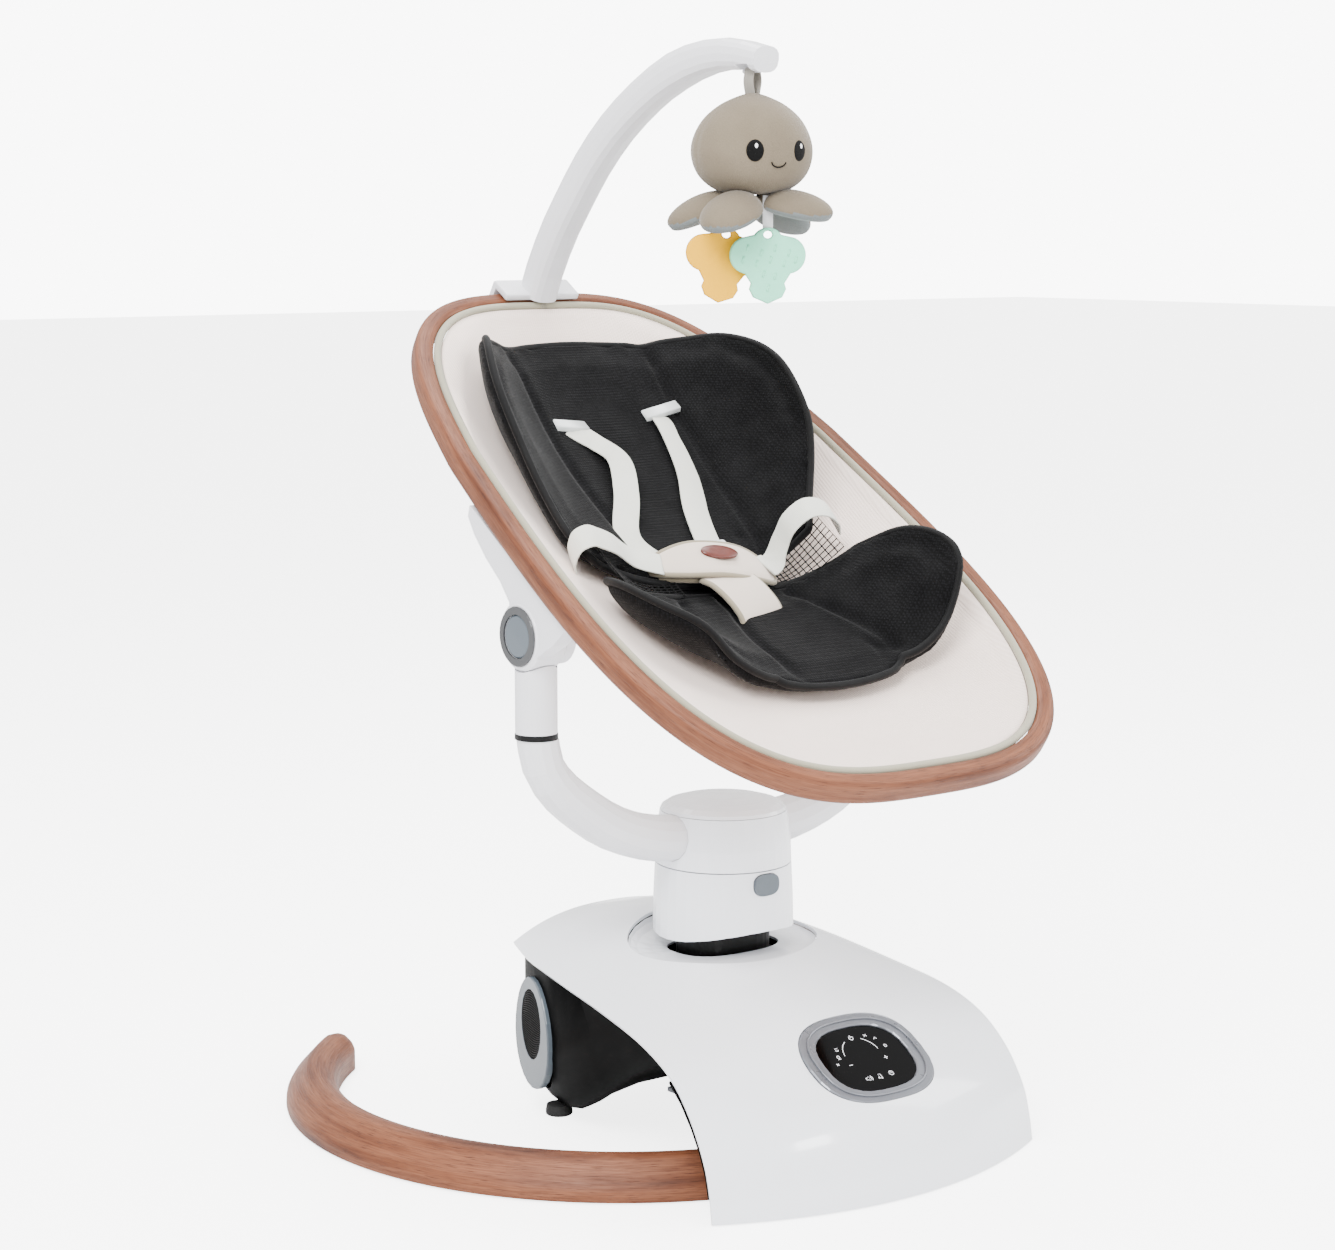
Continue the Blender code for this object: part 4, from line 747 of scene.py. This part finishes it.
def insert_part(name, stations, bows, seams, node):
    """A cushion through its stations (place, half width, middle, wings), sewn along seams.
    Its two ends bow out by the given amounts in the middle."""
    rows = []
    for t, (s, half, middle, right, left) in zip(np.linspace(0, 1, len(stations)), stations):
        row = []
        for u in np.linspace(-pi / 2, pi / 2, COLUMNS):
            bow = bows[0] * max(0, 1 - t / 0.4) ** 1.5 - bows[1] * max(0, (t - 0.6) / 0.4) ** 1.5
            row.append((middle + half * sin(u), s + bow * cos(u) ** 2))
        rows.append([(x, y, insert_top(x, y)) for x, y in row])
    top, tall = np.array(rows), len(rows)
    across, along = np.gradient(top, axis=1), np.gradient(top, axis=0)
    normal = np.cross(across, along)
    normal /= np.linalg.norm(normal, axis=2)[:, :, None]
    normal *= np.sign(normal[..., 2].sum())
    i, j = np.meshgrid(np.linspace(-1, 1, tall), np.linspace(-1, 1, COLUMNS), indexing="ij")
    inner = np.clip(1 - np.maximum(abs(i) ** 6, abs(j) ** 8), 0, 1) ** 0.5
    high = top - normal * 0.001
    low = high - normal * (PAD * (0.25 + 0.75 * inner) - 0.003)[..., None]
    points = np.concatenate([seated(high).reshape(-1, 3), seated(low).reshape(-1, 3)])
    size, last = tall * COLUMNS, COLUMNS - 1
    faces = []
    for a in range(tall - 1):
        for b in range(last):
            k = a * COLUMNS + b
            faces.append((k, k + 1, k + COLUMNS + 1, k + COLUMNS))
            faces.append((size + k, size + k + COLUMNS, size + k + COLUMNS + 1, size + k + 1))
    border = list(range(last)) + [a * COLUMNS + last for a in range(tall - 1)]
    border += [(tall - 1) * COLUMNS + b for b in range(last, 0, -1)] + [a * COLUMNS for a in range(tall - 1, 0, -1)]
    for a, b in zip(border, border[1:] + border[:1]):
        faces.append((a, size + a, size + b, b))
    made = piece_of(name, points, faces, knit, "seat", "black_knit", stands_for=[node])
    outward(made)
    edge = np.array([top.reshape(-1, 3)[k] - normal.reshape(-1, 3)[k] * 0.005 for k in border])
    for _ in range(4):
        edge = (np.roll(edge, 1, 0) + edge * 2 + np.roll(edge, -1, 0)) / 4
    blown(made, 0.0045, seated(edge))
    to_seat = np.array(SEAT.inverted())
    world = np.array([v.co for v in made.data.vertices])
    local = world @ to_seat[:3, :3].T + to_seat[:3, 3]
    sunk = np.zeros(len(local))
    for seam in seams:
        path = through(seam, 60)
        far = np.sqrt(((local[:, None, :2] - path[None, :, :2]) ** 2).sum(2).min(1))
        sunk = np.maximum(sunk, np.exp(-(far / SEAM_REACH) ** 2))
    surface = np.array([insert_top(x, s) for x, s, _ in local])
    facing_up = local[:, 2] > surface - 0.01
    inside = np.clip(np.minimum(0.153 - local[:, 1], local[:, 1] + 0.302) / 0.03, 0.1, 1)
    local[:, 2] -= SEAM_DEPTH * sunk * facing_up * inside
    made.data.vertices.foreach_set("co", seated(local).astype(np.float32).ravel())
    gridded(name + "_binding", swept(seated(edge), oval(0.0036, 0.0036, 2, 10), (0.1, 0.2, 1), True), bound_black,
            "seat", "black_knit", ring=True, loop=True)
    return made


back_seams = [[(sign * 0.081, 0.15), (sign * 0.078, 0.092), (sign * 0.075, 0.012), (sign * 0.066, -0.098),
               (sign * 0.06, -0.135)] for sign in (-1, 1)]
insert_part("insert_back_cushion", BACK, (0.013, 0.018), back_seams, "insert_back")
front_seams = [[(-0.012, -0.165), (-0.019, -0.203), (-0.024, -0.243), (-0.02, -0.3)]]
front_seams += [[(sign * 0.06, -0.172), (sign * 0.085, -0.225), (sign * 0.1, -0.28)] for sign in (-1, 1)]
insert_part("insert_seat_cushion", FRONT, (0.0, 0.01), front_seams, "insert_seat")
for side, sign in (("left", -1), ("right", 1)):

    def side_spot(i, j):
        start = np.array((sign * 0.05, -0.13 - 0.034 * j, insert_top(0.05, -0.14) - 0.005))
        stop = np.array((sign * 0.126 - 0.01, -0.1 - 0.06 * j, -0.013 + 0.004 * sign))
        bend = np.array((0, 0, -0.014 * sin(pi * i)))
        return seated([start + (stop - start) * i + bend])[0]

    rows = sampled(side_spot, (14, 10))
    side_net = net("side_net_" + side, rows, 0.0017, bound_black, "seat", "black_knit")
rows = [[(x, s, insert_top(x, -0.14 if s > -0.15 else -0.16) - 0.006 - 0.004 * sin(pi * (s + 0.172) / 0.044))
         for x in np.linspace(-0.07, 0.062, 21)] for s in np.linspace(-0.128, -0.172, 12)]
rows = seated(rows)
bridge = gridded("insert_bridge", rows, knit, "seat", "black_knit")
modify(bridge, "SOLIDIFY", thickness=0.002, offset=0)
outward(bridge)

# ---------------------------------------------------------------- harness
# Pale woven webbing: two shoulder straps from slots in the back, two waist straps that
# loop up at the sides, and a padded crotch strap, all to a buckle under a cream cover.
webbing = woven("pale_webbing", shade(234, 234, 227), shade(212, 213, 205), 260, 0.0003)
strap_plastic = moulded("strap_plastic", shade(222, 225, 224), 0.3, 600, 0.00003)


def strap(name, path, width, node=None, finish=webbing, across=(1, 0, 0), slot="webbing", thick=0.0016):
    """A flat strap along a path in the seat's frame."""
    run = through(path, 60)
    direction = np.array(across, float)
    if direction.ndim == 2:
        direction = through(direction, 60)
    rings = swept(run, eased([(-width / 2, -thick / 2), (width / 2, -thick / 2), (width / 2, thick / 2),
                              (-width / 2, thick / 2)], 0.0005), direction)
    return gridded(name, seated(rings), finish, "seat", slot, ring=True, caps=True,
                   stands_for=[node] if node else ())


def over(x, s, lift):
    """A place above the insert, in the seat's frame."""
    return (x, s, insert_top(x, s) + lift)


strap("shoulder_webbing_left", [over(-0.048, 0.068, -0.006), over(-0.046, 0.058, 0.004), over(-0.03, 0.04, 0.007),
                                over(-0.021, 0.012, 0.012), over(-0.04, -0.034, 0.012), over(-0.066, -0.08, 0.005),
                                over(-0.064, -0.112, 0.006), over(-0.048, -0.132, 0.008)], 0.024,
      "shoulder_strap_left", across=[(1, 0.2, 0.1), (1, 0.5, 0.1), (1, 0.0, 0.1), (1, -0.4, 0.1), (1, 0.2, 0.1)])
strap("shoulder_webbing_right", [over(0.06, 0.074, -0.006), over(0.06, 0.064, 0.004), over(0.058, 0.034, 0.005),
                                 over(0.048, -0.01, 0.006), over(0.03, -0.052, 0.006), over(0.016, -0.096, 0.006),
                                 over(0.01, -0.124, 0.008)], 0.026, "shoulder_strap_right",
      across=[(1, 0, 0), (1, 0.2, 0), (1, 0.4, 0), (1, 0.3, 0)])
for side, sign in (("left", -1), ("right", 1)):
    bar = swept([over(sign * 0.054 + (0.006 if sign > 0 else 0.007) + 0.0175 * end, 0.066 + 0.004 * sign, 0.0045)
                 for end in (-1, 1)],
                eased([(-0.006, -0.003), (0.006, -0.003), (0.006, 0.003), (-0.006, 0.003)], 0.0012), (0, 1, 0))
    gridded("strap_slider_" + side, seated(bar), strap_plastic, "seat", "light_plastic", ring=True, caps=True)
strap("waist_webbing_left", [(-0.06, -0.13, -0.038), (-0.088, -0.121, -0.034), (-0.114, -0.12, -0.018),
                             (-0.132, -0.12, -0.01), (-0.145, -0.12, -0.006), (-0.1555, -0.12, -0.012),
                             (-0.156, -0.12, -0.026), (-0.15, -0.12, -0.038)], 0.024, "waist_strap_left",
      across=(0.2, 1, 0.2))
strap("waist_webbing_right", [(0.046, -0.146, -0.037), (0.061, -0.138, -0.038), (0.068, -0.13, -0.022),
                              (0.071, -0.128, -0.003), (0.084, -0.128, 0.012), (0.104, -0.128, 0.0115),
                              (0.124, -0.126, -0.001), (0.133, -0.124, -0.014)], 0.024, "waist_strap_right",
      across=(0.1, 1, 0.1))

cover_cloth = woven("cover_cloth", shade(230, 220, 210), shade(214, 203, 192), 300, 0.0002, lay=False)
cover_edge = woven("cover_edge", shade(176, 168, 152), shade(158, 150, 134), 300, 0.0001)
CROTCH = [(-0.006, -0.148, -0.04), (-0.003, -0.162, -0.036), (0.003, -0.18, -0.038), (0.009, -0.197, -0.045),
          (0.011, -0.206, -0.056)]
strap("crotch_pad", CROTCH, 0.05, "crotch_strap", cover_cloth, across=(1, 0.2, 0), slot="buckle_cloth", thick=0.005)
for sign, name in ((-1, "crotch_edge_left"), (1, "crotch_edge_right")):
    path = [(x + sign * 0.0245, s + sign * 0.005, h) for x, s, h in CROTCH]
    gridded(name, seated(swept(through(path, 40), oval(0.0027, 0.0027, 2, 10), (1, 0, 0))), cover_edge, "seat",
            "buckle_cloth", ring=True, caps=True)
paint(strap_plastic, "buckle")

PAD_AT = Matrix.Translation((-0.007, -0.137, -0.0335)) @ Matrix.Rotation(radians(-11), 4, "Z")
PAD_AT = PAD_AT @ Matrix.Rotation(radians(9), 4, "X")
PAD_LINE = [(-0.066, 0.0), (-0.058, 0.009), (-0.03, 0.0175), (0.0, 0.0185), (0.034, 0.0175), (0.058, 0.01),
            (0.066, -0.002), (0.06, -0.012), (0.03, -0.0185), (0.0, -0.0195), (-0.03, -0.0185), (-0.058, -0.01)]


COVER_BOW, COVER_LIFT = 4.2, 0.004


def cover_layer(name, shift, half_thick, grow):
    """One padded layer of the buckle's cover: fuller in the middle and bowed over the buckle."""
    line = through(PAD_LINE + PAD_LINE[:1], 73)[:-1]
    rows = []
    for t in np.linspace(-1, 1, 17)[1:-1]:
        k = (1 - abs(t) ** 3.2) ** 0.5 * grow
        rows.append([PAD_AT @ Vector((x * k, y * k, shift + half_thick * t - COVER_BOW * (x * k) ** 2 + COVER_LIFT))
                     for x, y in line])
    layer = gridded(name, seated(rows), cover_cloth, "seat", "buckle_cloth", ring=True, caps=True)
    edge = [PAD_AT @ Vector((x * grow, y * grow, shift - COVER_BOW * (x * grow) ** 2 + COVER_LIFT)) for x, y in line]
    gridded(name + "_edge", swept(seated(edge), oval(0.0026, 0.0026, 2, 10), SEAT.to_3x3() @ Vector((0, 0, 1)), True),
            cover_edge, "seat", "buckle_cloth", ring=True, loop=True)
    return layer


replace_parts(cover_layer("buckle_cover", 0.0, 0.0048, 1.0), "buckle_pad")
cover_layer("buckle_cover_lining", -0.0092, 0.0026, 0.9)
hide = Finish("brown_leather", Coat_Weight=0.3, Coat_Roughness=0.25)
at = hide.place()
hide.feed(Base_Color=hide.mix(hide.noise(at, 300, 4.0), shade(100, 44, 24), shade(132, 64, 36)),
          Roughness=hide.level(hide.noise(at, 900, 3.0), 0.3, 0.7, 0.3, 0.45))
hide.bump(hide.node("TexVoronoi", None, {"Vector": at, "Scale": 900.0}), 0.0001)
badge = SEAT @ PAD_AT @ Matrix.Translation((0.002, 0.004, 0.0078)) @ Matrix.Rotation(radians(-5), 4, "X")
rows = [[badge @ Vector((x * k, y * k, z)) for x, y in oval(0.0185, 0.0085, 2, 40)]
        for k, z in ((1.0, -0.0006), (1.0, 0.0012), (0.93, 0.0018), (0.5, 0.0019))]
gridded("cover_badge", rows, hide, "seat", "buckle_cloth", ring=True, caps=True)

# ---------------------------------------------------------------- toy bar
# A hollow moulded arm, satin white, clipped over the rim's head end by a flat saddle. A
# notch near its tip holds a pin for the toy's loop.
paint(tube_white, "toy_bar")

# ---------------------------------------------------------------- hanging toy
# A stuffed velour octopus: a round head sewn from four panels with an embroidered face,
# and five flat padded legs, grey above and blue-grey below, on a tape loop.
PLUSH = Vector((0, NECK_Y - 0.0376, 0.876))


def velvet(name, dark, light, cloudy):
    """Short-piled velour in two close tones, clouded over by the given share."""
    finish = Finish(name, Sheen_Weight=0.25, Sheen_Roughness=0.35, Specular_IOR_Level=0.15)
    at = finish.place()
    nap, cloud = finish.noise(at, 900, 3.0), finish.noise(at, 28, 3.0)
    finish.feed(Base_Color=finish.mix(cloud * cloudy + nap * (1 - cloudy), dark, light),
                Roughness=finish.level(nap, 0.3, 0.7, 0.82, 0.95))
    finish.bump(nap, 0.0006)
    return finish


velour = velvet("grey_velour", shade(126, 117, 103), shade(154, 145, 131), 0.6)
underside = velvet("blue_velour", shade(124, 130, 131), shade(146, 150, 150), 0.0)
FACE = -90 - 13.0                   # the way the face looks, in degrees from +X

profile = through([(0.0005, 0.047), (0.012, 0.044), (0.028, 0.0365), (0.042, 0.0245), (0.0505, 0.009), (0.0525, -0.006),
                   (0.048, -0.021), (0.038, -0.032), (0.024, -0.0385), (0.0005, -0.04)], 44)
rows = []
for r, z in profile:
    ring = []
    for k in range(96):
        angle = 2 * pi * k / 96
        dent = sum(np.exp(-((((angle - radians(FACE + turn) + pi) % (2 * pi)) - pi) / 0.045) ** 2)
                   for turn in (0, 90, 180, 270))
        radius = r * (1 - 0.018 * dent * (1 if z > -0.02 else 0.4)) * (1 + 0.012 * sin(3 * angle + 40 * z))
        ring.append(PLUSH + Vector((radius * cos(angle), radius * sin(angle), z)))
    rows.append(ring)
head = gridded("plush_head_soft", rows, velour, "plush", "plush", ring=True, caps=True, stands_for=["plush_head"])


def on_face(turn, z, lift=0.0):
    """A place on the head, turned from the middle of the face."""
    r = np.interp(-z, -profile[:, 1], profile[:, 0]) + lift
    angle = radians(FACE + turn)
    return PLUSH + Vector((r * cos(angle), r * sin(angle), z))


thread_black = woven("black_thread", shade(14, 14, 15), shade(6, 6, 7), 900, 0.0001, lay=False, sheen=0.0, rough=0.6)
thread_white = woven("white_thread", shade(250, 250, 250), shade(232, 232, 232), 900, 0.0001, lay=False, sheen=0.1)


def patch(name, turn, z, wide, tall, lift, finish, slot):
    """A raised oval of stitching on the head."""
    rows = []
    for k in (0.02, 0.4, 0.75, 0.93, 1.0):
        bulge = lift * (1 - k ** 4) ** 0.5
        rows.append([on_face(turn + x * k, z + y * k, 0.0002 + bulge) for x, y in oval(wide, tall, 2, 36)])
    return gridded(name, rows, finish, "plush", slot, ring=True)


for side, turn in (("left", -23.5), ("right", 23.5)):
    patch("eye_" + side, turn, -0.0035, 8.2, 0.0092, 0.0011, thread_black, "black_plastic")
    patch("eye_light_" + side, turn + 1.2, 0.0005, 1.7, 0.0024, 0.0016, thread_white, "webbing")
smile = [on_face(turn, -0.0125 - 0.005 * (1 - (turn / 7.5) ** 2) ** 0.5, 0.0006) for turn in np.linspace(-7.4, 7.4, 30)]
gridded("smile", swept(smile, oval(0.0006, 0.0006, 2, 8), (0, 0, 1)), thread_black, "plush", "black_plastic", ring=True,
        caps=True)

for number, (heading, droop) in enumerate(((205, 0.024), (140, 0.022), (78, 0.02), (15, 0.026), (300, 0.014))):
    heading = Matrix.Rotation(radians(heading), 4, "Z")
    rows = []
    for k in np.linspace(0.04, 0.96, 26):
        t, full = (1 - cos(pi * k)) / 2, sin(pi * k)
        tilt = Matrix.Rotation(0.25 + 0.5 * t, 4, "Y")
        middle = Vector((0.013 + 0.058 * t, 0, -0.0465 - droop * t ** 1.5 + 0.003 * full))
        rows.append([PLUSH + heading @ (middle + tilt @ Vector((0, 0.0265 * full ** 0.9 * x,
                                                                0.0125 * full ** 0.7 * y - 0.005 * x * x * full)))
                     for x, y in oval(1, 1, 2.1, 32)])
    leg = gridded(f"plush_leg_{number + 1}", rows, velour, "plush", "plush", ring=True, caps=True,
                  stands_for=["plush_legs"] if number == 0 else ())
    leg.data.materials.append(underside.material)
    for face in leg.data.polygons:
        face.material_index = int(face.normal.z < -0.3)

loop_cloth = woven("loop_tape", shade(176, 172, 164), shade(150, 146, 140), 420, 0.0001)
white_tape = woven("white_tape", shade(226, 226, 226), shade(204, 204, 206), 420, 0.0001)
HOOK_Z = 0.941
path = [(PLUSH.x - 0.0026, PLUSH.y, HOOK_Z - 0.02), (PLUSH.x - 0.0046, PLUSH.y, HOOK_Z - 0.009)]
path += [(PLUSH.x - 0.0032 * cos(a), PLUSH.y, HOOK_Z + 0.0032 * sin(a)) for a in np.linspace(0, pi, 7)]
path += [(PLUSH.x + 0.0046, PLUSH.y, HOOK_Z - 0.009), (PLUSH.x + 0.0026, PLUSH.y, HOOK_Z - 0.02)]
tape_section = eased([(-0.0065, -0.0005), (0.0065, -0.0005), (0.0065, 0.0005), (-0.0065, 0.0005)], 0.0003)
gridded("toy_loop_tape", swept(through(path, 60), tape_section, (0, 1, 0)), loop_cloth, "toy_loop", "plush", ring=True,
        caps=True, stands_for=["toy_loop"])


# ---------------------------------------------------------------- teethers
# Two chewing rings of soft silicone, each cut as three round lobes over a stepped stem; the
# mint one has raised bars. They hang on tapes sewn under the plush.
def silicone(name, colour):
    finish = Finish(name, Specular_IOR_Level=0.12)
    at = finish.place()
    dust = finish.noise(at, 350, 4.0)
    finish.feed(Base_Color=finish.mix(dust, colour, tuple(c * 0.93 for c in colour[:3]) + (1,)),
                Roughness=finish.level(dust, 0.3, 0.7, 0.42, 0.56))
    finish.bump(finish.noise(at, 700, 2.0), 0.00008)
    return finish


outline = []
for (cx, cy), radius, start, stop in (((-0.017, -0.024), 0.016, 260, 110), ((0.0, -0.0145), 0.014, 145, 35),
                                      ((0.017, -0.024), 0.016, 70, -80)):
    outline += [(cx + radius * cos(a), cy + radius * sin(a)) for a in np.linspace(radians(start), radians(stop), 22)]
outline += [(0.0145, -0.048), (0.016, -0.053), (0.0125, -0.06), (0.0, -0.0655), (-0.0125, -0.06), (-0.016, -0.053),
            (-0.0145, -0.048)]
MARKS = [(-0.018, -0.018), (-0.006, -0.022), (0.006, -0.018), (0.018, -0.022), (-0.022, -0.028), (-0.01, -0.031),
         (0.002, -0.028), (0.014, -0.031), (0.024, -0.028), (-0.004, -0.04), (0.006, -0.042), (0.0, -0.052)]
for name, x, y, lean, colour in (("mint", 0.0, -0.0215, 0, shade(164, 230, 204)),
                                 ("yellow", -0.0205, 0.0035, -7, shade(236, 190, 0))):
    hang = Vector((x, PLUSH.y + y, PLUSH.z - 0.0405))
    turned = Matrix.Translation(hang) @ Matrix.Rotation(radians(-30), 4, "Z")
    plate = turned @ Matrix.Rotation(radians(90), 4, "X") @ Matrix.Rotation(radians(lean), 4, "Z")
    plate = plate @ Matrix.Translation((0, -0.027, 0))
    finish = silicone(name + "_silicone", colour)
    soft = prism_tool(outline, 0.0075, plate)
    carve(soft, prism_tool(oval(0.004, 0.0032, 2, 24), 0.02, plate @ Matrix.Translation((0, -0.0065, 0))))
    modify(soft, "BEVEL", width=0.0018, segments=3, limit_method="ANGLE", angle_limit=radians(60))
    points = [tuple(v.co) for v in soft.data.vertices]
    faces = [tuple(f.vertices) for f in soft.data.polygons]
    bpy.data.objects.remove(soft, do_unlink=True)
    ring = piece_of(f"teether_{name}_ring", points, faces, finish, "teether_" + name, name + "_silicone",
                    stands_for=["teether_" + name])
    crisp(ring, 40)
    for number, (mx, my) in enumerate(MARKS if name == "mint" else ()):
        for face, z in (("a", 0.0036), ("b", -0.0036)):
            bar = [plate @ Vector((mx - 0.0008, my - 0.0028, z)), plate @ Vector((mx + 0.0008, my + 0.0028, z))]
            gridded(f"teether_{name}_bar_{number + 1}{face}",
                    swept(bar, oval(0.0011, 0.0009, 2, 10), plate.to_3x3() @ Vector((1, 0, 0))),
                    finish, "teether_" + name, name + "_silicone", ring=True, caps=True)
    tape = [turned @ Vector((0, -0.0002, z)) for z in (0.0, -0.012, -0.03)]
    gridded(f"teether_{name}_tape",
            swept(through(tape, 24), eased([(-0.0045, -0.0006), (0.0045, -0.0006), (0.0045, 0.0006),
                                                                   (-0.0045, 0.0006)], 0.0003),
                  turned.to_3x3() @ Vector((1, 0, 0))),
            white_tape, "teether_" + name, "webbing", ring=True, caps=True)
